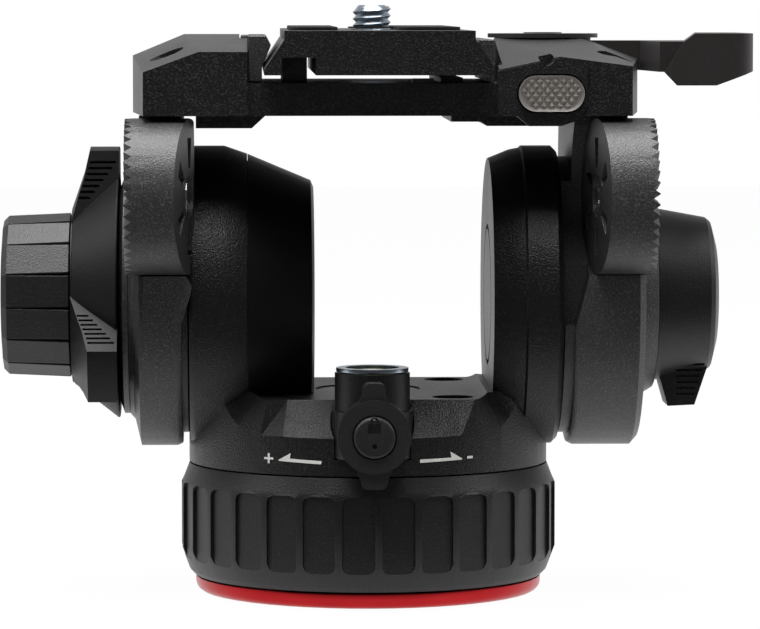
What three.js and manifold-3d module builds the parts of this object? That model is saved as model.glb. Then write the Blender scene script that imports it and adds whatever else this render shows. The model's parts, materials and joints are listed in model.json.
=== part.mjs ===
// A flat-base fluid video head, seen from the operator's side along +Y, in millimetres with +Z up.
// The origin lies on the pan axis, in the plane of the base's underside.
import * as THREE from "three";
import { mergeVertices } from "three/addons/utils/BufferGeometryUtils.js";
import Module from "manifold-3d";

const wasm = await Module();
wasm.setup();

// Clearances and cuts
const runningGap = 0.4;
const seatGap = 0.3;
const seamGap = 0.1;
const cutOverrun = 3;
const mergeDistance = 1e-4;

// Numbers of sides on round pieces
const largeSides = 48;
const mediumSides = 32;
const smallSides = 16;
const innerSides = 20;
const cornerSteps = 4;
const flareSteps = 8;
const floorSteps = 10;

// Base, insert and spindle
const baseRadius = 41.5;
const baseEdgeRound = 2.4;
const baseRimHeight = 3.7;
const baseStepRadius = 35.6;
const baseHeight = 8;
const insertRadius = 9.3;
const insertBore = 4.15;
const insertFlangeRadius = 12.4;
const insertFlangeHeight = 1.8;
const insertHeight = 13;
const insertRecess = 0.25;
const spindleFlangeRadius = 18;
const spindleRadius = 7;
const spindleRoof = 1.2;

// Pan drag cartridge
const cupPlate = 2;
const cupRadius = 35;
const cupRibThickness = 2.1;
const cupRibRadii = [20.4, 26.6];
const cupWall = 2.4;
const cupHeight = 14;
const rotorRibRadii = [23.3, 29.4];
const rotorRibThickness = 2.2;
const rotorPlate = 2.4;
const rotorHubRadius = 14;
const ribClearance = 1;

// Pan drag ring
const ringRadius = 45;
const ringInnerRadius = 36.4;
const ringBottom = 4.1;
const ringTop = 30.9;
const ringFootRadius = 41.7;
const ringFootHeight = 1.3;
const ringLowerShoulder = 10.8;
const ringLowerRadius = 43;
const ringUpperShoulder = 26;
const ringUpperRadius = 44.3;
const ringUpperHeight = 1.5;
const ringLipRadius = 43;
const ringPanelCount = 30;
const ringPanelDepth = 0.7;
const ringPanelBottom = 8.6;
const ringPanelTop = 26.6;
const ringRidgeWidth = 1.7;
const ringPanelCorner = 1.6;
const ringTurn = 1.7;

// Yoke: its floor rises from the drag ring and its tilt axis from the floor.
const bandRadius = 43;
const bandBottom = ringTop + runningGap;
const floorRise = 17.1;
const floorHeight = bandBottom + floorRise;
const tiltRise = 22.6;
const tiltHeight = floorHeight + tiltRise;
const spindleSink = 3.4;
const spindleTop = floorHeight - spindleSink;
const bodyLedge = 1.2;
const yokeHalfDepth = 33;
const openingLeft = -29;
const openingRight = 28.7;
const openingCorner = 4.5;
const chamferWidth = 5.6;
const chamferDrop = 8.6;
const chamferBottom = floorHeight - chamferDrop;
const chamferCorner = 8.5;
const flareStep = 1.5;
const towerRadius = 35.8;
const towerInnerRadius = 33.9;
const leftTowerOuter = -42.6;
const leftTowerCrease = -34.5;
const rightTowerOuter = 44.9;
const rightTowerCrease = 36.6;
const rightTowerStep = 0.5;
const rightTowerShoulder = 33.6;
const rightTowerInnerRadius = 32.8;
const towerEdge = 1.2;
const rightWall = 4.3;
const rightPocketRadius = 29;
const leftPocketRadius = 20.4;
const leftPocketDepth = 7;
const floorHoleRadius = 4.9;
const floorHoleX = 19.3;
const floorHoleY = 25.7;
const floorHoleDepth = 2.6;
const wallGrooveOuter = 17;
const wallGrooveInner = 15.8;
const wallGrooveDepth = 0.6;
const nutPocketRadius = 12.6;
const nutPocketDepth = 12.8;
const nutPocketBottom = floorHeight - nutPocketDepth;

// Pan bearing, nut and floor cover
const panBearingHeight = 3.5;
const nutHeight = 5.5;
const nutSlotWidth = 2.4;
const nutSlotDepth = 1.8;
const floorCoverRadius = 12.2;

// Level, its housing and the pan lock
const levelY = -38;
const levelRise = 6.8;
const levelTop = floorHeight + levelRise;
const levelRadius = 8.75;
const levelBossRadius = 9.5;
const levelBossSink = 2;
const levelBossTop = floorHeight - levelBossSink;
const levelBossDepth = 13;
const levelBossBottom = floorHeight - levelBossDepth;
const lockBossRadius = 7.9;
const lockBossFront = -49.6;
const lockDrop = 6.7;
const lockHeight = floorHeight - lockDrop;
const levelBore = 6.9;
const levelBoreDepth = 6;
const vialHeight = 4.4;
const vialDome = 1.1;
const bezelHeight = 0.9;
const bezelInner = 6.2;
const lockRingRadius = 8.5;
const lockRingFront = -57;
const lockCapRadius = 4.85;
const lockCapProud = 1.1;
const lockCapDepth = 3;
const lockLugReach = 12.3;
const lockLugHalfWidth = 2.6;
const lockLugFootHalfWidth = 4.4;
const lockTabReach = 12.1;
const lockTabHalfWidth = 3;
const lockTabFootHalfWidth = 4.4;
const lockTipRound = 1.5;
const lockSpindleRadius = 2.6;
const shoeWidth = 8;
const shoeHeight = 6.4;
const shoeLength = 6;
const shoeTravel = 0.8;

// Tilt axle, bearings and the counterbalance
const axleRadius = 5;
const leftAxleOuter = -84;
const leftAxleInner = -19;
const rightAxleOuter = 80;
const rightAxleInner = 34;
const bearingRadius = 9.4;
const bearingWidth = 4.6;
const coverOuterX = -13.2;
const coverRadius = 28.2;
const coverCorner = 2.2;
const coverWall = 2.6;
const coverBore = 20.3;
const coverSpigotRadius = 32.2;
const coverSpigotLength = 1;
const springOuterRadius = 18.6;
const springInnerRadius = 9;
const springWidth = 14;
const tiltCupPlate = 2;
const tiltCupRibThickness = 1.6;
const tiltCupRibRadii = [13.6, 19.6];
const tiltRotorRibRadii = [16.6, 22.6];
const tiltRotorRibThickness = 1.6;
const tiltRotorPlate = 2;
const tiltCupRadius = 28.2;

// Arms
const armRadius = 36.1;
const armTopHalfDepth = 27;
const armEdge = 1.2;
const leftArmInner = -44.4;
const leftArmOuter = -54.3;
const leftArmStepX = -55.8;
const leftArmStepRadius = 29.8;
const leftArmFaceX = -56.9;
const leftArmFaceRadius = 28.6;
const leftCollarRadius = 33;
const leftFairing = [[-43.2, 6.8], [-41.9, 4.2], [-42.3, 1.9], [-43.4, -1.4], [-44.2, -4.2]];
const leftFairingProud = 2.2;
const rightArmInner = 47.6;
const rightArmEdgeX = 62.6;
const rightArmBevelX = 64.1;
const rightArmBevelRadius = 34.4;
const rightArmFaceX = 64.4;
const rightArmFaceRadius = 30.9;
const rightCollarRadius = 33.2;
const rightNeckOuter = 60.2;
const rightReliefX = 50.8;
const rightReliefLow = -5.5;
const rightReliefHigh = 6.6;

// Rosettes
const rosetteRadius = 18.2;
const rosetteY = -36;
const rosetteRise = 25;
const leftRosetteX = -57.3;
const rightRosetteX = 65.6;
const leftRosetteWidth = 14.9;
const rightRosetteWidth = 13.4;
const leftRosetteSlant = -10.6;
const rightRosetteSlant = 7;
const rosetteReach = 15.9;
const rosetteToothCount = 44;
const rosetteToothDepth = 1.8;
const rosetteHubDepth = 2.4;
const rosetteHubRadius = 9.6;
const rosetteBushRadius = 4.6;
const rosetteThread = 2.6;
const petalCount = 6;
const petalDepth = 1.6;
const petalInner = 6.6;
const petalOuter = 13.6;
const petalWidth = 4.4;

// Counterbalance selector, its flange and the tilt drag knob
const flangeInnerX = leftArmFaceX - seamGap;
const flangeEdgeX = -58.3;
const flangeOuterX = -59.4;
const flangeRadius = 28.4;
const flangeOuterRadius = 25.5;
const selectorInnerX = flangeOuterX - seamGap;
const selectorOuterX = -70.8;
const selectorRadius = 21;
const selectorLobeCount = 3;
const lobeTopRadius = 35.6;
const lobeBackX = -66.4;
const lobeKneeX = -67.7;
const lobeKneeRadius = 30;
const lobeHalfWidth = 6.3;
const lobeFootHalfWidth = 15.4;
const lobeSlotCount = 7;
const lobeSlotPitch = 1.4;
const lobeSlotTop = 31.8;
const lobeSlotWidth = 0.6;
const lobeSlotDepth = 0.8;
const lobeSlotLength = 6.2;
const lobeSlotStep = 0.56;
const lobeSlotMargin = 0.9;
const knobInnerX = -71.2;
const knobOuterX = -87.2;
const knobRadius = 19.1;
const knobInnerRadius = 19.8;
const knobFacetCount = 15;
const knobEdge = 1.3;
const knobGrooveDepth = 0.45;
const knobGrooveWidth = 1;
const knobCapRadius = 14.6;
const knobCapDepth = 2.4;
const knobCapProud = 0.6;

// Tilt lock
const lockCollarInnerX = rightArmFaceX + seamGap;
const lockCollarRadius = 24.6;
const lockCollarOuterX = 68.3;
const lockCollarOuterRadius = 22.3;
const tiltLockInnerX = 68.5;
const tiltLockRadius = 20.8;
const tiltLockEdgeX = 81;
const tiltLockEdgeRadius = 18.5;
const tiltLockDome = [[17.6, 82.1], [13, 83.3], [7, 83.6]];
const tabOutline = [[69.7, -12], [69.7, -19.5], [71.7, -26.5], [78.1, -26.2], [81.3, -16.6], [81.6, -12]];
const tabHalfWidth = 7;
const tabGrooveCount = 6;
const tabGrooveTop = -16.6;
const tabGroovePitch = 1.44;
const tabGrooveStart = 73.6;
const tabGrooveWidth = 0.55;
const tabGrooveDepth = 0.5;
const tabGrooveMargin = 0.9;

// Plate carrier
const carrierFrontY = -42;
const carrierBackY = 38;
const carrierRise = 43.8;
const trayThickness = 7.5;
const trayInset = 2.2;
const railHeight = 1.3;
const leftRailWidth = 6;
const rightRailLeft = 16;
const rightRailRight = 21;
const leftShoulderInner = -28.9;
const leftFrontOuter = -53;
const leftFrontOuterTop = 10.1;
const leftFrontRidge = -40.2;
const leftFrontTop = 14.8;
const leftMiddleOuter = -56.3;
const leftMiddleOuterTop = 13.6;
const leftMiddleRidge = -44;
const leftMiddleTop = 18.7;
const rightShoulderInner = 29.2;
const rightFrontInnerTop = 10.7;
const rightFrontRidge = 43.3;
const rightFrontTop = 13.7;
const rightFrontOuter = 60.1;
const rightFrontOuterTop = 11.5;
const rightMiddleInnerTop = 17.7;
const rightMiddleRidge = 51;
const rightMiddleTop = 17.9;
const rightMiddleOuter = 64.7;
const rightMiddleOuterTop = 12.8;
const socketRadius = 4.3;
const socketDepth = 9;
const socketY = -24;
const leftSocketX = -47.8;
const rightSocketX = 57.2;
const leftRibOuter = -41;
const leftRibInner = -27.9;
const leftRibTopInner = -24.4;
const rightRibInner = 18.8;
const rightRibStep = 25.8;
const rightRibOuter = 40.6;
const rightRibRise = 1.7;
const rightRibCorner = 1.4;
const rightRibDepth = 2.7;
const underRibDepth = 3.2;
const underRibHalfLength = 26;
const leverStepY = 1.4;
const leverStepHeight = 9.6;

// Jaws and the plate lock
const fixedJawOuter = -28.7;
const jawKeyReach = 1.8;
const jawKeyHalfLength = 9;
const fixedJawTopInner = -24.5;
const fixedJawTip = -23.4;
const fixedJawTipHeight = 16.3;
const jawTop = 18.5;
const jawHalfLength = 36;
const movingJawTop = 17.6;
const movingJawOuter = 28.6;
const movingJawTip = 24.9;
const jawTravel = 1.2;
const jawSpringRise = 3;
const jawSpringRadius = 1.9;
const jawSpringY = 27;
const jawSpringLength = 5;
const leverPivotX = 42.4;
const leverPivotY = 8;
const leverHubRadius = 13.3;
const leverCoreRadius = 11.6;
const leverCapHeight = 1;
const leverBottom = 10;
const leverArmTop = 17.1;
const leverHubTop = 18.8;
const leverArmHalfWidth = 5.6;
const leverElbowX = 65.4;
const leverSweepX = 67.4;
const leverSweepY = -30;
const handleFrontY = -35;
const handleBackY = 14;
const handleBottom = 6.9;
const handleTop = 19;
const handleCorner = 6;
const handleSlant = 4.6;
const handleOuterX = 89.3;
const handleFootX = 68;
const handleSoleX = 71;
const handleToeX = 80.2;
const handleToeTop = 10.2;
const handleRampX = 72.6;
const handleCrownX = 75.2;
const pivotHeadRadius = 4.6;
const pivotHeadDepth = 2.6;
const pivotRadius = 2.8;

// Safety button and catch
const buttonX = 41.2;
const buttonHeight = 5.2;
const buttonWidth = 15.2;
const buttonTall = 8.3;
const buttonFrontY = -45;
const buttonLength = 9;
const buttonTravel = 3;
const buttonBossFrontY = -43.4;
const buttonBossOutline = [
  [28.8, 0], [33.2, 0], [36, -2.3], [43.5, -2.3], [47.3, -1], [49.5, 2.4],
  [49.5, 12.6], [43.3, 13.4], [28.8, 10.4],
];
const buttonNotchX = 40.2;
const buttonNotchHeight = 13.3;
const buttonNotchRadius = 1.7;
const buttonNotchEndY = -36;
const buttonStemRadius = 2.2;
const buttonStemLength = 12;
const buttonSpringRadius = 3.4;
const buttonSpringLength = 7;
const catchWidth = 5;
const catchLength = 6;
const catchRise = 1;
const catchX = 12;
const catchY = -30;
const catchTravel = 1.6;

// Camera plate
const plateX = 0.9;
const plateHalfLength = 70;
const plateBottom = 9.8;
const plateTop = 19.8;
const plateHalfWidth = 26;
const plateTopHalfWidth = 21.5;
const plateLip = 1.3;
const plateEdge = 2;
const plateNotchLeft = -21.1;
const plateNotchRight = -13.5;
const plateNotchHeight = 4;
const slotHalfWidth = 4.95;
const slotHalfLength = 19;
const headSlotHalfWidth = 7.2;
const leftPadLeft = -19;
const leftPadRight = -8.2;
const rightPadLeft = 5.8;
const rightPadRight = 19.9;
const padHalfLength = 50;
const padDepth = 0.8;
const padProud = 0.8;
const padCorner = 2;
const screwRadius = 4.6;
const screwTop = 25.6;
const screwEdge = 0.7;
const screwHeadRadius = 6.8;
const screwHeadBottom = 8.9;
const screwHeadHeight = 2.2;
const washerRadius = 5.7;
const washerHeight = 0.4;
const stopX = 12;
const stopY = 4;
const stopRadius = 2.6;
const stopDepth = 5;

// Materials
function finish(colour, roughness, metalness) {
  return new THREE.MeshStandardMaterial({ color: colour, roughness: roughness, metalness: metalness });
}
const redAnodised = finish(0x96202a, 0.35, 0.7);
const powderCoat = finish(0x26262a, 0.55, 0.1);
const mattBlack = finish(0x323234, 0.5, 0.15);
const mouldedBlack = finish(0x1f1f21, 0.6, 0);
const satinBlack = finish(0x1a1a1d, 0.35, 0);
const greyPlastic = finish(0x827e7a, 0.5, 0);
const zincSteel = finish(0xc4ccd4, 0.3, 1);
const bareSteel = finish(0xa8a8a8, 0.35, 1);
const bareAluminium = finish(0xb8babc, 0.4, 0.9);
const brassMetal = finish(0xb08d4a, 0.4, 0.9);
const rubber = finish(0x18181a, 0.9, 0);
const vialPlastic = finish(0xb9c94a, 0.1, 0);
const nylon = finish(0x2b2b2b, 0.6, 0);

// A geometry with shared corners, no collapsed faces, and its faces pointing out.
function tidied(geometry) {
  const bare = geometry.clone();
  bare.deleteAttribute("normal");
  bare.deleteAttribute("uv");
  const merged = mergeVertices(bare, mergeDistance);
  const points = merged.attributes.position;
  const corners = merged.index.array;
  const kept = [];
  const a = new THREE.Vector3();
  const b = new THREE.Vector3();
  const c = new THREE.Vector3();
  let volume = 0;
  for (let i = 0; i < corners.length; i += 3) {
    const [p, q, r] = [corners[i], corners[i + 1], corners[i + 2]];
    if (p === q || q === r || r === p) {
      continue;
    }
    a.fromBufferAttribute(points, p);
    b.fromBufferAttribute(points, q);
    c.fromBufferAttribute(points, r);
    volume += a.dot(b.clone().cross(c));
    kept.push([p, q, r]);
  }
  const ordered = volume > 0 ? kept : kept.map(([p, q, r]) => [p, r, q]);
  return { points: new Float32Array(points.array), corners: new Uint32Array(ordered.flat()) };
}

function solid(geometry) {
  const { points, corners } = tidied(geometry);
  return new wasm.Manifold(new wasm.Mesh({ numProp: 3, vertProperties: points, triVerts: corners }));
}

function join(first, ...others) {
  return others.reduce((whole, other) => whole.add(other), first);
}

function cut(first, ...others) {
  return others.reduce((whole, other) => whole.subtract(other), first);
}

function geometryOf(body) {
  const mesh = body.getMesh();
  const geometry = new THREE.BufferGeometry();
  geometry.setAttribute("position", new THREE.BufferAttribute(mesh.vertProperties, 3));
  geometry.setIndex(new THREE.BufferAttribute(mesh.triVerts, 1));
  geometry.computeVertexNormals();
  return geometry;
}

function piece(name, body, material) {
  const mesh = new THREE.Mesh(geometryOf(body), material);
  mesh.name = name;
  return mesh;
}

function radians(degrees) {
  return THREE.MathUtils.degToRad(degrees);
}

// Turned bodies: profile points are [radius, place along the axis].
function lathed(profile, sides) {
  const points = profile.map(([radius, along]) => new THREE.Vector2(radius, along));
  if (profile[0][0] > 0) {
    points.push(points[0].clone());
  }
  return new THREE.LatheGeometry(points, sides);
}

function turnedZ(profile, sides) {
  return solid(lathed(profile, sides).rotateX(Math.PI / 2));
}

function turnedX(profile, sides, y = 0, z = 0) {
  return solid(lathed(profile, sides).rotateZ(-Math.PI / 2).translate(0, y, z));
}

function turnedY(profile, sides, x = 0, z = 0) {
  return solid(lathed(profile, sides).translate(x, 0, z));
}

function discProfile(radius, start, end) {
  return [[0, start], [radius, start], [radius, end], [0, end]];
}

function ringProfile(outer, inner, start, end) {
  return [[inner, start], [outer, start], [outer, end], [inner, end]];
}

function rodZ(radius, bottom, top, sides, x = 0, y = 0) {
  return solid(lathed(discProfile(radius, bottom, top), sides).rotateX(Math.PI / 2).translate(x, y, 0));
}

function block(x0, x1, y0, y1, z0, z1) {
  const box = new THREE.BoxGeometry(x1 - x0, y1 - y0, z1 - z0);
  return solid(box.translate((x0 + x1) / 2, (y0 + y1) / 2, (z0 + z1) / 2));
}

function shapeOf(outline) {
  if (outline instanceof THREE.Shape) {
    return outline;
  }
  return new THREE.Shape(outline.map(([x, y]) => new THREE.Vector2(x, y)));
}

function extruded(outline, depth, steps) {
  const settings = { depth: depth, bevelEnabled: false, curveSegments: steps };
  return new THREE.ExtrudeGeometry(shapeOf(outline), settings);
}

function prismZ(outline, bottom, top, steps = cornerSteps) {
  return solid(extruded(outline, top - bottom, steps).translate(0, 0, bottom));
}

// An outline of [x, z] points drawn along Y.
function prismY(outline, front, back, steps = cornerSteps) {
  return solid(extruded(outline, back - front, steps).rotateX(Math.PI / 2).translate(0, back, 0));
}

// An outline of [y, z] points drawn along X.
function prismX(outline, left, right, steps = cornerSteps) {
  const turn = new THREE.Matrix4().makeBasis(
    new THREE.Vector3(0, 1, 0),
    new THREE.Vector3(0, 0, 1),
    new THREE.Vector3(1, 0, 0),
  );
  return solid(extruded(outline, right - left, steps).applyMatrix4(turn).translate(left, 0, 0));
}

function roundedRectangle(left, right, low, high, corner) {
  const shape = new THREE.Shape();
  shape.absarc(right - corner, low + corner, corner, -Math.PI / 2, 0, false);
  shape.absarc(right - corner, high - corner, corner, 0, Math.PI / 2, false);
  shape.absarc(left + corner, high - corner, corner, Math.PI / 2, Math.PI, false);
  shape.absarc(left + corner, low + corner, corner, Math.PI, 1.5 * Math.PI, false);
  return shape;
}

function stadium(x, y, width, height) {
  const corner = height / 2;
  const reach = width / 2;
  return roundedRectangle(x - reach, x + reach, y - corner, y + corner, corner);
}

// A body through rings of points that all have the same number of corners, with flat ends.
function lofted(rings, endOutline) {
  const count = rings[0].length;
  const positions = rings.flat(2);
  const corners = [];
  for (let ring = 0; ring + 1 < rings.length; ring += 1) {
    for (let i = 0; i < count; i += 1) {
      const next = (i + 1) % count;
      const a = ring * count + i;
      const b = ring * count + next;
      const c = (ring + 1) * count + next;
      const d = (ring + 1) * count + i;
      corners.push(a, b, c, a, c, d);
    }
  }
  const flat = endOutline.map(([x, y]) => new THREE.Vector2(x, y));
  const last = (rings.length - 1) * count;
  for (const [a, b, c] of THREE.ShapeUtils.triangulateShape(flat, [])) {
    const ccw = !THREE.ShapeUtils.isClockWise([flat[a], flat[b], flat[c]]);
    const sameTurn = ccw === !THREE.ShapeUtils.isClockWise(flat);
    const [p, q, r] = sameTurn ? [a, b, c] : [a, c, b];
    corners.push(p, r, q, last + p, last + q, last + r);
  }
  const geometry = new THREE.BufferGeometry();
  geometry.setAttribute("position", new THREE.Float32BufferAttribute(positions, 3));
  geometry.setIndex(corners);
  return solid(geometry);
}

// Base group

function basePlate() {
  const rim = [];
  for (let i = 0; i <= cornerSteps; i += 1) {
    const turn = (Math.PI / 2) * (i / cornerSteps);
    const radius = baseRadius - baseEdgeRound + baseEdgeRound * Math.sin(turn);
    rim.push([radius, baseEdgeRound - baseEdgeRound * Math.cos(turn)]);
  }
  const bore = insertRadius + seatGap;
  return turnedZ([
    [bore, 0],
    ...rim,
    [baseRadius, baseRimHeight],
    [baseStepRadius, baseRimHeight],
    [baseStepRadius, baseHeight],
    [bore, baseHeight],
  ], largeSides);
}

function threadInsert() {
  const flangeBottom = baseHeight + seatGap;
  return turnedZ([
    [insertBore, insertRecess],
    [insertRadius, insertRecess],
    [insertRadius, flangeBottom],
    [insertFlangeRadius, flangeBottom],
    [insertFlangeRadius, flangeBottom + insertFlangeHeight],
    [insertRadius, flangeBottom + insertFlangeHeight],
    [insertRadius, insertHeight],
    [insertBore, insertHeight],
  ], smallSides);
}

function panSpindle() {
  const bottom = baseHeight + seatGap;
  const mouth = insertFlangeRadius + seatGap;
  const flangeTop = insertHeight + seatGap + spindleRoof;
  return turnedZ([
    [0, insertHeight + seatGap],
    [mouth, insertHeight + seatGap],
    [mouth, bottom],
    [spindleFlangeRadius, bottom],
    [spindleFlangeRadius, flangeTop],
    [spindleRadius, flangeTop],
    [spindleRadius, spindleTop],
    [0, spindleTop],
  ], innerSides);
}

function comb(bore, outer, base, plate, ribs, thickness, reach) {
  // An annular plate with round ribs standing on it, all in one profile.
  const top = base + plate;
  const points = [[bore, base], [outer, base]];
  const inward = [...ribs].sort((a, b) => b - a);
  for (const radius of inward) {
    points.push([radius + thickness, top], [radius + thickness, reach], [radius, reach], [radius, top]);
  }
  points.push([bore, top]);
  return points;
}

function panFluidCup() {
  const bottom = baseHeight + seatGap;
  const profile = comb(
    spindleFlangeRadius + seatGap, cupRadius, bottom, cupPlate,
    [...cupRibRadii, cupRadius - cupWall], cupRibThickness, bottom + cupHeight,
  );
  return turnedZ(profile, innerSides);
}

function panFluidRotor() {
  const ribBottom = baseHeight + seatGap + cupPlate + ribClearance;
  const plateBottom = baseHeight + seatGap + cupHeight + ribClearance;
  const bore = spindleRadius + runningGap;
  const points = [
    [bore, bandBottom - seatGap],
    [rotorHubRadius, bandBottom - seatGap],
    [rotorHubRadius, plateBottom + rotorPlate],
    [cupRadius, plateBottom + rotorPlate],
    [cupRadius, plateBottom],
  ];
  for (const radius of [...rotorRibRadii].reverse()) {
    points.push([radius + rotorRibThickness, plateBottom], [radius + rotorRibThickness, ribBottom]);
    points.push([radius, ribBottom], [radius, plateBottom]);
  }
  points.push([bore, plateBottom]);
  return turnedZ(points, innerSides);
}

function panRetainingNut() {
  const bottom = nutPocketBottom + seatGap + panBearingHeight + seatGap;
  const radius = nutPocketRadius - runningGap;
  const nut = turnedZ(ringProfile(radius, spindleRadius + seatGap, bottom, bottom + nutHeight), smallSides);
  const top = bottom + nutHeight;
  const half = nutSlotWidth / 2;
  const across = radius + cutOverrun;
  return cut(nut, block(-half, half, -across, across, top - nutSlotDepth, top + cutOverrun));
}

// Pan drag ring: a turned body with a row of sunk panels that leave narrow ridges between them.
function panDragRing() {
  const body = turnedZ([
    [ringInnerRadius, ringBottom],
    [ringFootRadius, ringBottom],
    [ringLowerRadius, ringBottom + ringFootHeight],
    [ringRadius, ringLowerShoulder],
    [ringRadius, ringUpperShoulder],
    [ringUpperRadius, ringUpperShoulder + ringUpperHeight],
    [ringLipRadius, ringTop],
    [ringInnerRadius, ringTop],
  ], 2 * ringPanelCount);
  const step = (2 * Math.PI) / ringPanelCount;
  const face = ringRadius * Math.cos(step / 2) - ringPanelDepth;
  const half = ringRadius * Math.sin(step / 2) - ringRidgeWidth / 2;
  const outline = roundedRectangle(-half, half, ringPanelBottom, ringPanelTop, ringPanelCorner);
  let ring = body;
  for (let i = 0; i < ringPanelCount; i += 1) {
    const turn = (i + 0.5) * step;
    const tool = extruded(outline, cutOverrun, 1).rotateX(Math.PI / 2).translate(0, -face, 0).rotateZ(turn);
    ring = ring.subtract(solid(tool));
  }
  return ring;
}

// Yoke

// Points of a U seen from the front, closed far above.
function openingOutline(left, right, low, corner, high) {
  const points = [];
  for (let i = 0; i <= flareSteps; i += 1) {
    const turn = Math.PI + (Math.PI / 2) * (i / flareSteps);
    points.push([left + corner + corner * Math.cos(turn), low + corner + corner * Math.sin(turn)]);
  }
  for (let i = 1; i < floorSteps; i += 1) {
    points.push([left + corner + (right - left - 2 * corner) * (i / floorSteps), low]);
  }
  for (let i = 0; i <= flareSteps; i += 1) {
    const turn = 1.5 * Math.PI + (Math.PI / 2) * (i / flareSteps);
    points.push([right - corner + corner * Math.cos(turn), low + corner + corner * Math.sin(turn)]);
  }
  points.push([right, high], [left, high]);
  return points;
}

// The opening through the yoke, flared at its front and back edges out to the band's round face.
function yokeOpening() {
  const high = tiltHeight + towerRadius + cutOverrun;
  const inner = openingOutline(openingLeft, openingRight, floorHeight, openingCorner, high);
  const outer = openingOutline(
    openingLeft - chamferWidth, openingRight + chamferWidth, chamferBottom, chamferCorner, high,
  );
  const outerDepths = outer.map(([x]) => Math.sqrt(Math.max(0, bandRadius ** 2 - x ** 2)) + seatGap);
  const innerDepths = outerDepths.map((depth) => Math.min(yokeHalfDepth, depth - flareStep));
  const far = bandRadius + cutOverrun;
  const rings = [
    outer.map(([x, z]) => [x, -far, z]),
    outer.map(([x, z], i) => [x, -outerDepths[i], z]),
    inner.map(([x, z], i) => [x, -innerDepths[i], z]),
    inner.map(([x, z], i) => [x, innerDepths[i], z]),
    outer.map(([x, z], i) => [x, outerDepths[i], z]),
    outer.map(([x, z]) => [x, far, z]),
  ];
  return lofted(rings, outer);
}

function yokeBody() {
  const top = floorHeight + bodyLedge;
  const side = rightTowerOuter - towerEdge;
  const beyond = bandRadius + cutOverrun;
  return cut(
    turnedZ(discProfile(bandRadius, bandBottom, top), largeSides),
    block(side, beyond, -beyond, beyond, bandBottom - cutOverrun, top + cutOverrun),
  );
}

function leftTower() {
  return turnedX([
    [0, leftTowerOuter],
    [towerRadius - towerEdge / 2, leftTowerOuter],
    [towerRadius, leftTowerOuter + towerEdge],
    [towerRadius, leftTowerCrease],
    [towerInnerRadius, openingLeft],
    [0, openingLeft],
  ], largeSides, 0, tiltHeight);
}

function rightTower() {
  const shoulderRadius = towerRadius - 2 * rightTowerStep;
  return turnedX([
    [0, openingRight],
    [rightTowerInnerRadius, openingRight],
    [shoulderRadius, rightTowerShoulder],
    [towerRadius - rightTowerStep, rightTowerCrease - rightTowerStep],
    [towerRadius, rightTowerCrease],
    [towerRadius, rightTowerOuter - towerEdge],
    [towerRadius - towerEdge, rightTowerOuter],
    [0, rightTowerOuter],
  ], largeSides, 0, tiltHeight);
}

function levelHousingForm(margin) {
  return join(
    rodZ(levelBossRadius + margin, levelBossBottom - margin, levelBossTop, mediumSides, 0, levelY),
    rodZ(levelRadius + margin, levelBossTop - margin, levelTop + margin, mediumSides, 0, levelY),
    turnedY(discProfile(lockBossRadius + margin, lockBossFront, levelY), mediumSides, 0, lockHeight),
  );
}

// The disc by which the counterbalance cover is let into the left tower, above the floor's rounded corner.
function coverSpigot(margin) {
  const start = openingLeft - coverSpigotLength - margin;
  const profile = discProfile(coverSpigotRadius + margin, start, openingLeft + seatGap);
  const disc = turnedX(profile, largeSides, 0, tiltHeight);
  const low = floorHeight + openingCorner + seatGap - margin;
  const high = tiltHeight + towerRadius;
  return disc.intersect(block(start, openingLeft + seatGap, -bandRadius, bandRadius, low, high));
}

// Places of the pan lock's pieces along Y, from the nut that the shoe presses on.
const nutRadius = nutPocketRadius - runningGap;
const shoeInner = -(nutRadius + runningGap + shoeTravel);
const shoeOuter = shoeInner - shoeLength;
const lockSpindleInner = shoeOuter - seatGap;

function yokeCuts() {
  const pocketTop = floorHeight + cutOverrun;
  const holes = [-floorHoleY, floorHoleY].map((y) => (
    rodZ(floorHoleRadius, floorHeight - floorHoleDepth, pocketTop, smallSides, floorHoleX, y)
  ));
  const channelHalf = shoeWidth / 2 + runningGap;
  const channelTall = shoeHeight / 2 + runningGap;
  const channelLow = lockHeight - channelTall;
  const springEnd = openingLeft - leftPocketDepth;
  const bearingEnd = leftTowerOuter + 2 * seatGap + bearingWidth;
  const rightPocketEnd = openingRight + rightWall;
  const alongTilt = (radius, start, end, sides) => (
    turnedX(discProfile(radius, start, end), sides, 0, tiltHeight)
  );
  const grooveEnd = openingRight + wallGrooveDepth;
  const groove = ringProfile(wallGrooveOuter, wallGrooveInner, openingRight - cutOverrun, grooveEnd);
  return [
    rodZ(spindleRadius + runningGap, bandBottom - cutOverrun, pocketTop, innerSides),
    rodZ(nutPocketRadius, nutPocketBottom, pocketTop, mediumSides),
    ...holes,
    levelHousingForm(seatGap),
    turnedY(discProfile(lockSpindleRadius + runningGap, levelY, shoeOuter), smallSides, 0, lockHeight),
    block(-channelHalf, channelHalf, shoeOuter - runningGap, 0, channelLow, lockHeight + channelTall),
    coverSpigot(seatGap),
    alongTilt(leftPocketRadius, springEnd, openingLeft + cutOverrun, mediumSides),
    alongTilt(bearingRadius + seatGap, leftTowerOuter - cutOverrun, bearingEnd, innerSides),
    alongTilt(axleRadius + runningGap, leftTowerOuter, openingLeft, smallSides),
    alongTilt(rightPocketRadius, rightPocketEnd, rightTowerOuter + cutOverrun, mediumSides),
    turnedX(groove, mediumSides, 0, tiltHeight),
  ];
}

function yoke() {
  const body = cut(yokeBody(), yokeOpening());
  return cut(join(body, leftTower(), rightTower()), ...yokeCuts());
}

function panThrustBearing() {
  const bottom = nutPocketBottom + seatGap;
  const ring = ringProfile(nutRadius, spindleRadius + seatGap, bottom, bottom + panBearingHeight);
  return turnedZ(ring, innerSides);
}

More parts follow.
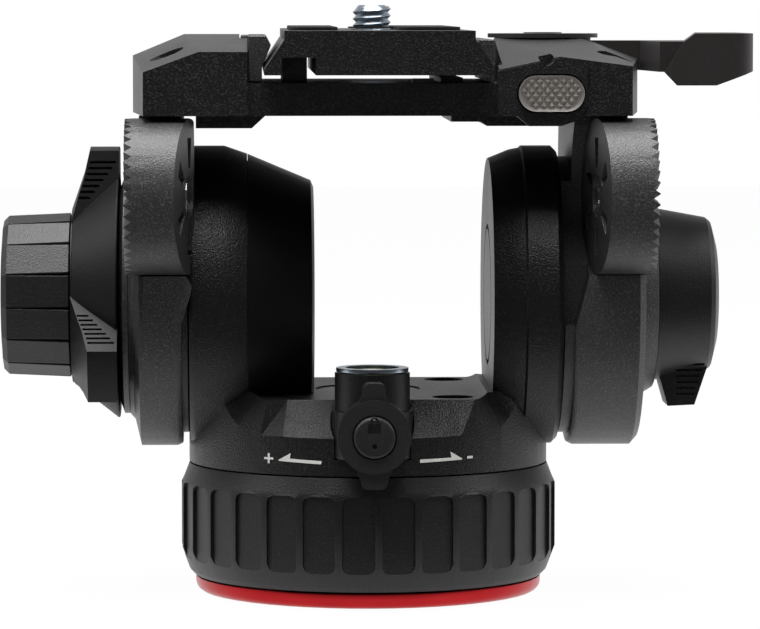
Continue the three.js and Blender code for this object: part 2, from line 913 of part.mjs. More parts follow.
function floorCover() {
  const bottom = nutPocketBottom + 3 * seatGap + panBearingHeight + nutHeight;
  return rodZ(floorCoverRadius, bottom, floorHeight - seatGap, mediumSides);
}

function levelHousing() {
  const back = levelY + levelBossRadius + cutOverrun;
  const bore = discProfile(lockSpindleRadius + runningGap, lockBossFront - cutOverrun, back);
  return cut(
    levelHousingForm(0),
    rodZ(levelBore + seatGap, levelTop - levelBoreDepth, levelTop + cutOverrun, mediumSides, 0, levelY),
    turnedY(bore, smallSides, 0, lockHeight),
  );
}

function levelVial() {
  const bottom = levelTop - levelBoreDepth + seatGap;
  return solid(lathed([
    [0, bottom],
    [levelBore, bottom],
    [levelBore, bottom + vialHeight - vialDome],
    [levelBore / 2, bottom + vialHeight - vialDome / 4],
    [0, bottom + vialHeight],
  ], mediumSides).rotateX(Math.PI / 2).translate(0, levelY, 0));
}

function levelBezel() {
  const bottom = levelTop + seatGap;
  const ring = ringProfile(levelRadius - seatGap, bezelInner, bottom, bottom + bezelHeight);
  return solid(lathed(ring, mediumSides).rotateX(Math.PI / 2).translate(0, levelY, 0));
}

// The pan lock lever's lug above and thumb tab below, seen from the front; between them they lie in its ring.
function lockLeverOutline() {
  const onRing = (x) => Math.sqrt(lockRingRadius ** 2 - x ** 2) - runningGap;
  const foot = onRing(lockLugFootHalfWidth);
  const heel = onRing(lockTabFootHalfWidth);
  const lugRound = lockLugReach - lockTipRound;
  const tabRound = lockTabReach - lockTipRound;
  const lugSide = lockLugHalfWidth - lockTipRound;
  const tabSide = lockTabHalfWidth - lockTipRound;
  const shape = new THREE.Shape();
  shape.moveTo(lockLugFootHalfWidth, foot);
  shape.quadraticCurveTo(lockLugHalfWidth, foot + lockTipRound, lockLugHalfWidth, lugRound);
  shape.absarc(lugSide, lugRound, lockTipRound, 0, Math.PI / 2, false);
  shape.absarc(-lugSide, lugRound, lockTipRound, Math.PI / 2, Math.PI, false);
  shape.quadraticCurveTo(-lockLugHalfWidth, foot + lockTipRound, -lockLugFootHalfWidth, foot);
  shape.lineTo(-lockTabFootHalfWidth, -heel);
  shape.lineTo(-lockTabHalfWidth, -tabRound);
  shape.absarc(-tabSide, -tabRound, lockTipRound, Math.PI, 1.5 * Math.PI, false);
  shape.absarc(tabSide, -tabRound, lockTipRound, 1.5 * Math.PI, 2 * Math.PI, false);
  shape.lineTo(lockTabFootHalfWidth, -heel);
  return shape;
}

// Pan lock lever: a ring whose lug and tab stand back from its face.
function panLockLever() {
  const back = lockBossFront - runningGap;
  const whole = join(
    turnedY(discProfile(lockRingRadius, lockRingFront, back), mediumSides),
    prismY(lockLeverOutline(), lockRingFront + lockCapProud, back),
  );
  const capEnd = lockRingFront + lockCapDepth;
  const capRoom = discProfile(lockCapRadius + seatGap, lockRingFront - cutOverrun, capEnd);
  const spindleRoom = discProfile(lockSpindleRadius + seatGap, lockRingFront, back + cutOverrun);
  return cut(whole, turnedY(capRoom, mediumSides), turnedY(spindleRoom, smallSides));
}

function panLockCap() {
  const back = lockRingFront + lockCapDepth - seatGap;
  const front = lockRingFront - lockCapProud;
  return turnedY([
    [0, front],
    [lockCapRadius - lockCapProud / 2, front],
    [lockCapRadius, front + lockCapProud / 2],
    [lockCapRadius, back],
    [0, back],
  ], mediumSides);
}

function panLockSpindle() {
  const front = lockRingFront + lockCapDepth + seatGap / 2;
  return turnedY(discProfile(lockSpindleRadius, front, lockSpindleInner), smallSides);
}

function panBrakeShoe() {
  const half = shoeWidth / 2;
  const tall = shoeHeight / 2;
  const shoe = block(-half, half, shoeOuter, -nutRadius, lockHeight - tall, lockHeight + tall);
  return cut(shoe, rodZ(-shoeInner, 0, tiltHeight, mediumSides));
}

// Counterbalance cover: the tower's cone carried on over the opening, flat where it meets the floor.
function counterbalanceCover() {
  const start = openingLeft + seamGap;
  const coneEnd = coverOuterX - coverCorner;
  const cornerShare = 0.3;
  const form = turnedX([
    [0, start],
    [towerInnerRadius - seamGap / 2, start],
    [coverRadius, coneEnd],
    [coverRadius - cornerShare * coverCorner, coverOuterX - cornerShare * coverCorner],
    [coverRadius - coverCorner, coverOuterX],
    [0, coverOuterX],
  ], largeSides, 0, tiltHeight);
  const high = tiltHeight + 2 * towerRadius;
  const room = roundedRectangle(start, openingRight, floorHeight + seatGap, high, openingCorner);
  const inside = prismY(room, -bandRadius, bandRadius);
  const bore = discProfile(coverBore, openingLeft - 2 * cutOverrun, coverOuterX - coverWall);
  return cut(join(form.intersect(inside), coverSpigot(0)), turnedX(bore, mediumSides, 0, tiltHeight));
}

function counterbalanceSpring() {
  const start = openingLeft - leftPocketDepth + seatGap;
  const ring = ringProfile(springOuterRadius, springInnerRadius, start, start + springWidth);
  return turnedX(ring, innerSides, 0, tiltHeight);
}

function tiltBearing(start) {
  const ring = ringProfile(bearingRadius, axleRadius + runningGap, start, start + bearingWidth);
  return turnedX(ring, innerSides, 0, tiltHeight);
}

function tiltFluidCup() {
  const start = openingRight + rightWall + seatGap;
  const reach = rightTowerOuter - tiltRotorPlate - ribClearance;
  const profile = comb(
    bearingRadius + seatGap, tiltCupRadius, start, tiltCupPlate,
    [...tiltCupRibRadii, tiltCupRadius - tiltCupRibThickness], tiltCupRibThickness, reach,
  );
  return turnedX(profile, innerSides, 0, tiltHeight);
}

// Carriage, drawn about the tilt axis

function tiltFluidRotor() {
  const end = rightTowerOuter;
  const start = end - tiltRotorPlate;
  const reach = openingRight + rightWall + seatGap + tiltCupPlate + ribClearance;
  const points = [[axleRadius + seatGap, end], [tiltCupRadius, end], [tiltCupRadius, start]];
  for (const radius of [...tiltRotorRibRadii].reverse()) {
    points.push([radius + tiltRotorRibThickness, start], [radius + tiltRotorRibThickness, reach]);
    points.push([radius, reach], [radius, start]);
  }
  points.push([axleRadius + seatGap, start]);
  return turnedX(points, innerSides);
}

function tiltAxle(start, end) {
  return turnedX(discProfile(axleRadius, start, end), smallSides);
}

function armNeck(left, right) {
  const top = carrierRise - seatGap;
  const footShare = 0.98;
  const foot = armRadius * footShare;
  return prismX([[-foot, 0], [foot, 0], [armTopHalfDepth, top], [-armTopHalfDepth, top]], left, right);
}

function leftArm() {
  const disc = turnedX([
    [axleRadius + seatGap, leftTowerOuter - runningGap],
    [leftCollarRadius, leftTowerOuter - runningGap],
    [leftCollarRadius, leftArmInner],
    [armRadius - armEdge / 2, leftArmInner],
    [armRadius, leftArmInner - armEdge],
    [armRadius, leftArmOuter],
    [leftArmStepRadius, leftArmStepX],
    [leftArmFaceRadius, leftArmFaceX],
    [axleRadius + seatGap, leftArmFaceX],
  ], largeSides);
  const bore = turnedX(discProfile(axleRadius + seatGap, leftArmFaceX, leftTowerOuter), smallSides);
  const neck = cut(armNeck(leftArmOuter, leftArmInner), bore);
  return join(cut(join(disc, neck), rosetteEnvelope()), leftArmFairing());
}

// A swelling in front of the arm's rim that leads up to the left rosette.
function leftArmFairing() {
  const [top, low] = [leftFairing[0][1], leftFairing[leftFairing.length - 1][1]];
  const outline = [...leftFairing, [leftArmOuter + armEdge, low], [leftArmOuter + armEdge, top]];
  const clear = towerRadius + runningGap;
  return cut(
    prismY(outline, -armRadius - leftFairingProud, -armRadius + leftFairingProud),
    turnedX(discProfile(clear, leftArmInner - seamGap, openingLeft), largeSides),
    rosetteEnvelope(),
  );
}

function rightArm() {
  const disc = turnedX([
    [axleRadius + seatGap, rightTowerOuter + runningGap],
    [rightCollarRadius, rightTowerOuter + runningGap],
    [rightCollarRadius, rightArmInner],
    [armRadius - armEdge / 2, rightArmInner],
    [armRadius, rightArmInner + armEdge],
    [armRadius, rightArmEdgeX],
    [rightArmBevelRadius, rightArmBevelX],
    [rightArmFaceRadius, rightArmFaceX],
    [axleRadius + seatGap, rightArmFaceX],
  ], largeSides);
  const bore = turnedX(discProfile(axleRadius + seatGap, rightTowerOuter, rightArmFaceX), smallSides);
  const neck = cut(armNeck(rightArmInner, rightNeckOuter), bore);
  return cut(join(disc, neck), rosetteEnvelope(), rightArmRelief());
}

// The front of the right arm is cut back on a slant below the rosette and straight behind it.
function rightArmRelief() {
  const start = rightArmInner - cutOverrun;
  const high = carrierRise - cutOverrun;
  const outline = [
    [start, rightReliefLow],
    [rightArmInner, rightReliefLow],
    [rightReliefX, rightReliefHigh],
    [rightReliefX, high],
    [start, high],
  ];
  return prismY(outline, -armRadius - cutOverrun, -armTopHalfDepth);
}

function rosetteEnvelope() {
  const profile = discProfile(rosetteRadius + seatGap, 2 * leftRosetteX, 2 * rightRosetteX);
  return turnedX(profile, largeSides, rosetteY, rosetteRise);
}

// A rosette drum that ends at its toothed face: its inner face is slanted and has petal recesses.
function rosette(width, slant) {
  const drumProfile = [
    [rosetteBushRadius + seatGap, -rosetteReach],
    [rosetteRadius, -rosetteReach],
    [rosetteRadius, 0],
    [rosetteHubRadius, 0],
    [rosetteHubRadius, -rosetteHubDepth],
    [rosetteBushRadius + seatGap, -rosetteHubDepth],
  ];
  const beyond = 2 * rosetteReach;
  const slab = new THREE.BoxGeometry(beyond, 2 * beyond, 2 * beyond).translate(-beyond / 2, 0, 0);
  const behind = solid(slab.rotateZ(radians(slant)).translate(-width, 0, 0));
  let drum = cut(turnedX(drumProfile, mediumSides), behind);
  const crestShare = 0.92;
  const pitch = (2 * Math.PI) / rosetteToothCount;
  const reach = rosetteRadius + cutOverrun;
  const half = reach * Math.tan(pitch / 2) * crestShare;
  const deep = rosetteToothDepth * (reach / rosetteRadius);
  const mouth = half * (1 + cutOverrun / deep);
  for (let i = 0; i < rosetteToothCount; i += 1) {
    const groove = new THREE.BufferGeometry();
    const corners = [[0, 0, 0], [cutOverrun, reach, mouth], [cutOverrun, reach, -mouth], [-deep, reach, 0]];
    groove.setAttribute("position", new THREE.Float32BufferAttribute(corners.flat(), 3));
    groove.setIndex([0, 1, 2, 0, 3, 1, 0, 2, 3, 1, 3, 2]);
    drum = drum.subtract(solid(groove.rotateX(i * pitch)));
  }
  for (let i = 0; i < petalCount; i += 1) {
    const petal = [
      [petalInner, -petalWidth / 4],
      [petalOuter, -petalWidth / 2],
      [petalOuter, petalWidth / 2],
      [petalInner, petalWidth / 4],
    ];
    const turn = i * 2 * Math.PI / petalCount;
    const tool = extruded(petal, petalDepth + cutOverrun, 1).rotateY(-Math.PI / 2).rotateX(turn);
    const placed = tool.translate(petalDepth, 0, 0).rotateZ(radians(slant)).translate(-width, 0, 0);
    drum = drum.subtract(solid(placed));
  }
  return drum;
}

// The left drum clears the disc that the tower fills beside it.
function leftRosette() {
  const tower = lathed(discProfile(towerRadius + runningGap, leftTowerOuter - runningGap, 0), largeSides);
  const placed = tower.rotateZ(-Math.PI / 2).translate(-leftRosetteX, -rosetteY, -rosetteRise);
  return cut(rosette(leftRosetteWidth, leftRosetteSlant), solid(placed.rotateZ(Math.PI)));
}

function rosetteBush(width) {
  const slantRoom = 2 * seatGap;
  const ring = ringProfile(rosetteBushRadius, rosetteThread, -width + slantRoom, -rosetteHubDepth);
  return turnedX(ring, smallSides);
}

function selectorFlange() {
  const cone = turnedX([
    [axleRadius + seatGap, flangeOuterX],
    [flangeOuterRadius, flangeOuterX],
    [flangeRadius, flangeEdgeX],
    [flangeRadius, flangeInnerX],
    [axleRadius + seatGap, flangeInnerX],
  ], largeSides);
  const drum = discProfile(rosetteRadius + seatGap, leftRosetteX - seatGap, 0);
  return cut(cone, turnedX(drum, largeSides, rosetteY, rosetteRise));
}

function inTurns(count, make) {
  const shapes = [];
  for (let i = 0; i < count; i += 1) {
    shapes.push(make(i * 2 * Math.PI / count));
  }
  return join(...shapes);
}

// An outline of [y, z] points drawn along X and turned about the X axis.
function turnedPrismX(outline, left, right, turn) {
  const basis = new THREE.Matrix4().makeBasis(
    new THREE.Vector3(0, 1, 0), new THREE.Vector3(0, 0, 1), new THREE.Vector3(1, 0, 0),
  );
  const bar = extruded(outline, right - left, 1).applyMatrix4(basis);
  return solid(bar.translate(left, 0, 0).rotateX(turn));
}

// How far out along X the selector's lobes reach at a given height above the axis.
function lobeFace(height) {
  const [low, high] = height < lobeKneeRadius
    ? [[selectorRadius, selectorOuterX], [lobeKneeRadius, lobeKneeX]]
    : [[lobeKneeRadius, lobeKneeX], [lobeTopRadius, lobeBackX]];
  const share = (height - low[0]) / (high[0] - low[0]);
  return low[1] + share * (high[1] - low[1]);
}

// Slots across both flanks of one lobe, shorter towards the ring.
function lobeSlots(turn) {
  const slots = [];
  for (let i = 0; i < lobeSlotCount; i += 1) {
    const height = lobeSlotTop - i * lobeSlotPitch;
    const share = height / (lobeTopRadius + cutOverrun);
    const flank = lobeFootHalfWidth + (lobeHalfWidth - lobeFootHalfWidth) * share - lobeSlotDepth;
    const left = lobeFace(height) + lobeSlotMargin;
    const right = left + lobeSlotLength - i * lobeSlotStep;
    for (const side of [-1, 1]) {
      const outline = [
        [side * flank, height],
        [side * (flank + cutOverrun), height],
        [side * (flank + cutOverrun), height + lobeSlotWidth],
        [side * flank, height + lobeSlotWidth],
      ];
      slots.push(turnedPrismX(outline, left, right, turn));
    }
  }
  return slots;
}

// Counterbalance selector: a ring with three finger lobes.
function counterbalanceSelector() {
  const bore = axleRadius + runningGap;
  const hub = turnedX(ringProfile(selectorRadius, bore, selectorOuterX, selectorInnerX), mediumSides);
  const reach = turnedX([
    [bore, selectorOuterX],
    [selectorRadius, selectorOuterX],
    [lobeKneeRadius, lobeKneeX],
    [lobeTopRadius, lobeBackX],
    [lobeTopRadius, selectorInnerX],
    [bore, selectorInnerX],
  ], largeSides);
  const outline = [
    [-lobeFootHalfWidth, 0],
    [lobeFootHalfWidth, 0],
    [lobeHalfWidth, lobeTopRadius + cutOverrun],
    [-lobeHalfWidth, lobeTopRadius + cutOverrun],
  ];
  const far = selectorOuterX - cutOverrun;
  const near = selectorInnerX + cutOverrun;
  const lobes = inTurns(selectorLobeCount, (turn) => turnedPrismX(outline, far, near, turn));
  const slots = inTurns(selectorLobeCount, (turn) => join(...lobeSlots(turn)));
  return cut(join(hub, reach.intersect(lobes)), slots);
}

function tiltDragKnob() {
  const bore = axleRadius + runningGap;
  const knob = turnedX([
    [bore, knobInnerX],
    [knobInnerRadius, knobInnerX],
    [knobRadius, knobOuterX + knobEdge],
    [knobRadius - knobEdge, knobOuterX],
    [bore, knobOuterX],
  ], knobFacetCount);
  const recess = discProfile(knobCapRadius + seatGap, knobOuterX - cutOverrun, knobOuterX + knobCapDepth);
  return cut(knob, turnedX(recess, mediumSides), knobGrooves());
}

// A shallow groove along each edge between two facets; the facets are those of a turned body with few sides.
function knobGrooves() {
  const half = knobGrooveWidth / 2;
  return inTurns(knobFacetCount, (turn) => {
    const outline = [
      [0, knobRadius - knobGrooveDepth],
      [half, knobInnerRadius],
      [half, knobInnerRadius + cutOverrun],
      [-half, knobInnerRadius + cutOverrun],
      [-half, knobInnerRadius],
    ];
    return turnedPrismX(outline, knobOuterX + knobEdge, knobInnerX + cutOverrun, turn);
  });
}

function tiltDragCap() {
  const inner = knobOuterX + knobCapDepth - seatGap;
  return turnedX([
    [0, inner],
    [knobCapRadius, inner],
    [knobCapRadius, knobOuterX],
    [knobCapRadius - knobCapProud, knobOuterX - knobCapProud / 2],
    [0, knobOuterX - knobCapProud / 2],
  ], mediumSides);
}

function tiltLockCollar() {
  return turnedX([
    [axleRadius + seatGap, lockCollarInnerX],
    [lockCollarRadius, lockCollarInnerX],
    [lockCollarOuterRadius, lockCollarOuterX],
    [axleRadius + seatGap, lockCollarOuterX],
  ], mediumSides);
}

// Tilt lock: a tapered cap with one grip tab hanging from it.
function tiltLockLever() {
  const [, outerX] = tiltLockDome[tiltLockDome.length - 1];
  const cap = turnedX([
    [0, tiltLockInnerX],
    [tiltLockRadius, tiltLockInnerX],
    [tiltLockEdgeRadius, tiltLockEdgeX],
    ...tiltLockDome,
    [0, outerX],
  ], mediumSides);
  const tab = prismY(tabOutline, -tabHalfWidth, tabHalfWidth);
  const bore = discProfile(axleRadius + runningGap, tiltLockInnerX - cutOverrun, rightAxleOuter + runningGap);
  return cut(join(cap, tab), turnedX(bore, smallSides), ...tabGrooves());
}

// Grooves across the front and back of the tab, as long as its slanted outer edge leaves room for.
function tabGrooves() {
  const [toe, shoulderEdge] = [tabOutline[3], tabOutline[4]];
  const lean = (shoulderEdge[0] - toe[0]) / (shoulderEdge[1] - toe[1]);
  const grooves = [];
  for (let i = 0; i < tabGrooveCount; i += 1) {
    const height = tabGrooveTop - i * tabGroovePitch;
    const end = toe[0] + (height - toe[1]) * lean - tabGrooveMargin;
    for (const side of [-1, 1]) {
      const near = side * (tabHalfWidth - tabGrooveDepth);
      const far = side * (tabHalfWidth + cutOverrun);
      const [front, back] = [Math.min(near, far), Math.max(near, far)];
      grooves.push(block(tabGrooveStart, end, front, back, height, height + tabGrooveWidth));
    }
  }
  return grooves;
}

// Plate carrier, drawn from its underside up

function shoulder(sections) {
  const [front, middle] = sections;
  const places = [[carrierFrontY, front], [0, middle], [carrierBackY, front]];
  const rings = places.map(([y, outline]) => outline.map(([x, z]) => [x, y, z]));
  return lofted(rings, front);
}

function leftShoulder() {
  const section = (outer, outerTop, ridge, top) => [
    [leftShoulderInner, 0],
    [leftShoulderInner, top],
    [ridge, top],
    [outer, outerTop],
    [outer, 0],
  ];
  return shoulder([
    section(leftFrontOuter, leftFrontOuterTop, leftFrontRidge, leftFrontTop),
    section(leftMiddleOuter, leftMiddleOuterTop, leftMiddleRidge, leftMiddleTop),
  ]);
}

function rightShoulder() {
  const section = (innerTop, ridge, top, outer, outerTop) => [
    [rightShoulderInner, 0],
    [outer, 0],
    [outer, outerTop],
    [ridge, top],
    [rightShoulderInner, innerTop],
  ];
  return shoulder([
    section(rightFrontInnerTop, rightFrontRidge, rightFrontTop, rightFrontOuter, rightFrontOuterTop),
    section(rightMiddleInnerTop, rightMiddleRidge, rightMiddleTop, rightMiddleOuter, rightMiddleOuterTop),
  ]);
}

// An accessory socket is sunk square to the shoulder's outer face.
function socketTool(x, height, slope) {
  const bore = lathed(discProfile(socketRadius, -socketDepth, cutOverrun), smallSides).rotateX(Math.PI / 2);
  return solid(bore.rotateY(slope).translate(x, socketY, height));
}

// The height and slope of a shoulder's outer face at its socket, from its front and middle
// [ridge, edge] points.
function shoulderFace(x, front, middle) {
  const share = (socketY - carrierFrontY) / -carrierFrontY;
  const mix = (a, b) => a + (b - a) * share;
  const [ridge, edge] = front.map((point, i) => point.map((value, k) => mix(value, middle[i][k])));
  const rise = (ridge[1] - edge[1]) / (ridge[0] - edge[0]);
  return { height: edge[1] + (x - edge[0]) * rise, slope: -Math.atan(rise) };
}

const leftSocket = shoulderFace(
  leftSocketX,
  [[leftFrontRidge, leftFrontTop], [leftFrontOuter, leftFrontOuterTop]],
  [[leftMiddleRidge, leftMiddleTop], [leftMiddleOuter, leftMiddleOuterTop]],
);
const rightSocket = shoulderFace(
  rightSocketX,
  [[rightFrontRidge, rightFrontTop], [rightFrontOuter, rightFrontOuterTop]],
  [[rightMiddleRidge, rightMiddleTop], [rightMiddleOuter, rightMiddleOuterTop]],
);

const jawOuterLimit = movingJawOuter + jawTravel + runningGap;
const buttonPocketEnd = buttonFrontY + buttonLength + buttonTravel + runningGap;
const buttonSpringEnd = buttonPocketEnd + buttonSpringLength + seatGap;

// The room for the lever's hub, its sweep behind the right shoulder and the screw it turns on.
function leverRoom() {
  const above = leverHubTop + cutOverrun;
  const capLow = leverHubTop - leverCapHeight - runningGap;
  const outer = rightMiddleOuter + cutOverrun;
  const atPivot = (radius, low, sides) => rodZ(radius, low, above, sides, leverPivotX, leverPivotY);
  return [
    atPivot(leverCoreRadius + runningGap, leverStepHeight, mediumSides),
    atPivot(leverHubRadius + runningGap, capLow, mediumSides),
    atPivot(pivotRadius + seatGap, seatGap, smallSides),
    block(leverPivotX, outer, leverStepY, carrierBackY + cutOverrun, leverStepHeight, above),
  ];
}

// The room for the button, its stem and spring, and the notch that shows above it.
function buttonRoom() {
  const outline = stadium(buttonX, buttonHeight, buttonWidth + 2 * runningGap, buttonTall + 2 * runningGap);
  const stemEnd = buttonFrontY + buttonLength + buttonStemLength + buttonTravel + 2 * runningGap;
  const alongY = (radius, end) => (
    turnedY(discProfile(radius, carrierFrontY, end), smallSides, buttonX, buttonHeight)
  );
  const notch = discProfile(buttonNotchRadius, buttonBossFrontY - cutOverrun, buttonNotchEndY);
  return [
    prismY(outline, carrierFrontY - 2 * cutOverrun, buttonPocketEnd),
    alongY(buttonSpringRadius + seatGap, buttonSpringEnd),
    alongY(buttonStemRadius + runningGap, stemEnd),
    turnedY(notch, smallSides, buttonNotchX, buttonNotchHeight),
  ];
}

// The room for the moving jaw and its springs, and the pocket that keys the fixed jaw.
function jawRoom() {
  const above = leverHubTop + cutOverrun;
  const long = jawHalfLength + runningGap;
  const springEnd = jawOuterLimit + jawSpringLength + seatGap;
  const bore = discProfile(jawSpringRadius + seatGap, jawOuterLimit - cutOverrun, springEnd);
  const height = trayThickness + jawSpringRise;
  const springs = [-jawSpringY, jawSpringY].map((y) => turnedX(bore, smallSides, y, height));
  return [block(0, jawOuterLimit, -long, long, trayThickness, above), ...springs, jawKey(seatGap)];
}

function jawKey(margin) {
  const half = jawKeyHalfLength + margin;
  const far = fixedJawOuter - jawKeyReach - margin;
  const low = trayThickness + seatGap - margin;
  return block(far, fixedJawOuter + seamGap, -half, half, low, jawTop + margin);
}

function carrierCuts() {
  const half = catchWidth / 2 + runningGap;
  const long = catchLength / 2 + runningGap;
  return [
    ...leverRoom(),
    ...jawRoom(),
    ...buttonRoom(),
    socketTool(leftSocketX, leftSocket.height, leftSocket.slope),
    socketTool(rightSocketX, rightSocket.height, rightSocket.slope),
    block(catchX - half, catchX + half, catchY - long, catchY + long, seatGap, trayThickness + cutOverrun),
  ];
}

// Ribs under the tray: a chamfered one on the left and a stepped one on the right.
function underRibs() {
  const top = trayThickness / 2;
  const low = -underRibDepth;
  const left = [
    [leftRibOuter, top],
    [leftRibOuter, low],
    [leftRibInner, low],
    [leftRibTopInner, 0],
    [leftRibTopInner, top],
  ];
  const right = [
    [rightRibInner, top],
    [rightRibInner, -rightRibRise],
    [rightRibStep, -rightRibRise],
    [rightRibStep + rightRibCorner, -rightRibDepth],
    [rightRibOuter, -rightRibDepth],
    [rightRibOuter, top],
  ];
  return [left, right].map((outline) => prismY(outline, -underRibHalfLength, underRibHalfLength));
}

function plateCarrier() {
  const inner = leftShoulderInner - seatGap;
  const outer = rightShoulderInner + seatGap;
  const front = carrierFrontY + trayInset;
  const back = carrierBackY - trayInset;
  const railLow = trayThickness / 2;
  const leftRailTop = plateBottom + plateNotchHeight - runningGap;
  const rightRailTop = trayThickness + railHeight;
  const rail = (left, right, top) => block(left, right, front + trayInset, back - trayInset, railLow, top);
  const body = join(
    leftShoulder(),
    rightShoulder(),
    block(inner, outer, front, back, 0, trayThickness),
    ...underRibs(),
    prismY(buttonBossOutline, buttonBossFrontY, carrierFrontY + trayInset),
  );
  return join(
    cut(body, ...carrierCuts()),
    rail(plateNotchLeft + runningGap, plateNotchLeft + leftRailWidth, leftRailTop),
    rail(rightRailLeft, rightRailRight, rightRailTop),
  );
}

function fixedJaw() {
  const low = trayThickness + seatGap;
  const foot = plateX - plateHalfWidth - runningGap;
  const jaw = prismY([
    [fixedJawOuter, low],
    [foot, low],
    [foot, plateBottom + plateLip],
    [fixedJawTip, fixedJawTipHeight],
    [fixedJawTopInner, jawTop],
    [fixedJawOuter, jawTop],
  ], -jawHalfLength, jawHalfLength - trayInset);
  return join(jaw, jawKey(0));
}

function movingJaw() {
  const low = trayThickness + seatGap;
  const foot = plateX + plateHalfWidth + runningGap;
  return prismY([
    [foot, low],
    [movingJawOuter, low],
    [movingJawOuter, movingJawTop],
    [movingJawTip, movingJawTop],
    [movingJawTip - runningGap, movingJawTop - 2 * runningGap],
    [foot, plateBottom + plateLip],
  ], -jawHalfLength, jawHalfLength);
}

function jawSpring(y) {
  return turnedX(
    discProfile(jawSpringRadius, jawOuterLimit, jawOuterLimit + jawSpringLength),
    smallSides, y, trayThickness + jawSpringRise,
  );
}

// Quick-release lever: a hub, an arm that sweeps forward, and a thick handle with a ramp and a toe.
function plateLockLever() {
  const capLow = leverHubTop - leverCapHeight;
  const atPivot = (radius, low, high, sides) => rodZ(radius, low, high, sides, leverPivotX, leverPivotY);
  const arm = prismZ([
    [leverPivotX, leverPivotY - leverArmHalfWidth],
    [leverElbowX, leverPivotY - leverArmHalfWidth],
    [leverSweepX, leverSweepY],
    [handleCrownX, handleFrontY + handleCorner],
    [handleCrownX + handleSlant, leverPivotY + leverArmHalfWidth],
    [leverPivotX, leverPivotY + leverArmHalfWidth],
  ], leverBottom, leverArmTop);
  const plan = roundedRectangle(leverElbowX, handleOuterX, handleFrontY, handleBackY, handleCorner);
  const headLow = leverHubTop - pivotHeadDepth;
  const above = leverHubTop + cutOverrun;
  return cut(
    join(
      atPivot(leverCoreRadius, leverBottom, capLow, mediumSides),
      atPivot(leverHubRadius, capLow, leverHubTop, mediumSides),
      arm,
      leverHandle().intersect(prismZ(plan, handleBottom, handleTop, floorSteps)),
    ),
    atPivot(pivotHeadRadius + runningGap, headLow, above, mediumSides),
    atPivot(pivotRadius + runningGap, leverBottom - cutOverrun, leverHubTop, smallSides),
  );
}

// The handle's section seen from the front; its inner side leans away towards the back.
function leverHandle() {
  const section = (lean) => [
    [handleFootX + lean, leverBottom],
    [handleSoleX + lean, handleBottom],
    [handleToeX, handleBottom],
    [handleOuterX, handleToeTop],
    [handleOuterX, handleTop],
    [handleCrownX + lean, handleTop],
    [handleRampX + lean, leverArmTop],
  ];
  const rings = [[handleFrontY, 0], [handleBackY, handleSlant]];
  return lofted(rings.map(([y, lean]) => section(lean).map(([x, z]) => [x, y, z])), section(0));
}

function leverPivotScrew() {
  const under = leverHubTop - pivotHeadDepth + seatGap;
  return join(
    rodZ(pivotHeadRadius, under, leverHubTop + seatGap, mediumSides, leverPivotX, leverPivotY),
    rodZ(pivotRadius, 2 * seatGap, leverHubTop, smallSides, leverPivotX, leverPivotY),
  );
}

function safetyButton() {
  const back = buttonFrontY + buttonLength;
  const stem = discProfile(buttonStemRadius, buttonFrontY + buttonLength / 2, back + buttonStemLength);
  return join(
    prismY(stadium(buttonX, buttonHeight, buttonWidth, buttonTall), buttonFrontY, back),
    turnedY(stem, smallSides, buttonX, buttonHeight),
  );
}

function buttonSpring() {
  const start = buttonPocketEnd;
  const bore = buttonStemRadius + runningGap;
  const ring = ringProfile(buttonSpringRadius, bore, start, start + buttonSpringLength);
  return turnedY(ring, smallSides, buttonX, buttonHeight);
}

function safetyCatch() {
  const low = 2 * seatGap + catchTravel;
  const half = catchWidth / 2;
  const long = catchLength / 2;
  return block(catchX - half, catchX + half, catchY - long, catchY + long, low, trayThickness + catchRise);
}

// Camera plate and what it carries

function plateSection() {
  return [
    [plateX - plateHalfWidth, plateBottom],
    [plateX + plateHalfWidth, plateBottom],
    [plateX + plateHalfWidth, plateBottom + plateLip],
    [plateX + plateTopHalfWidth, plateTop - plateEdge],
    [plateX + plateTopHalfWidth, plateTop],
    [plateX - plateTopHalfWidth, plateTop],
    [plateX - plateTopHalfWidth, plateTop - plateEdge],
    [plateX - plateHalfWidth, plateBottom + plateLip],
  ];
}

function padOutline(left, right, margin) {
  const long = padHalfLength + margin;
  return roundedRectangle(left - margin, right + margin, -long, long, padCorner);
}

function uprightStadium(x, halfWidth, halfLength) {
  const long = halfLength + halfWidth;
  return roundedRectangle(x - halfWidth, x + halfWidth, -long, long, halfWidth);
}

function cameraPlate() {
  const body = prismY(plateSection(), -plateHalfLength, plateHalfLength);
  const low = plateBottom - cutOverrun;
  const high = plateTop + cutOverrun;
  const headTop = screwHeadBottom + screwHeadHeight + runningGap;
  const long = plateHalfLength + cutOverrun;
  return cut(
    body,
    block(plateNotchLeft, plateNotchRight, -long, long, low, plateBottom + plateNotchHeight),
    prismZ(uprightStadium(plateX, slotHalfWidth, slotHalfLength), low, high),
    prismZ(uprightStadium(plateX, headSlotHalfWidth, slotHalfLength), low, headTop),
    prismZ(padOutline(leftPadLeft, leftPadRight, seatGap), plateTop - padDepth, high),
    prismZ(padOutline(rightPadLeft, rightPadRight, seatGap), plateTop - padDepth, high),
    rodZ(stopRadius + seatGap, low, plateBottom + stopDepth, smallSides, stopX, stopY),
  );
}

function gripPad(left, right) {
  const top = plateTop + padProud;
  return cut(
    prismZ(padOutline(left, right, 0), plateTop - padDepth + seatGap, top),
    rodZ(washerRadius + seatGap, plateTop - padDepth, top + cutOverrun, mediumSides, plateX),
  );
}

function cameraScrew() {
  return turnedZ([
    [0, screwHeadBottom],
    [screwHeadRadius, screwHeadBottom],
    [screwHeadRadius, screwHeadBottom + screwHeadHeight],
    [screwRadius, screwHeadBottom + screwHeadHeight],
    [screwRadius, screwTop - screwEdge],
    [screwRadius - screwEdge, screwTop],
    [0, screwTop],
  ], smallSides);
}

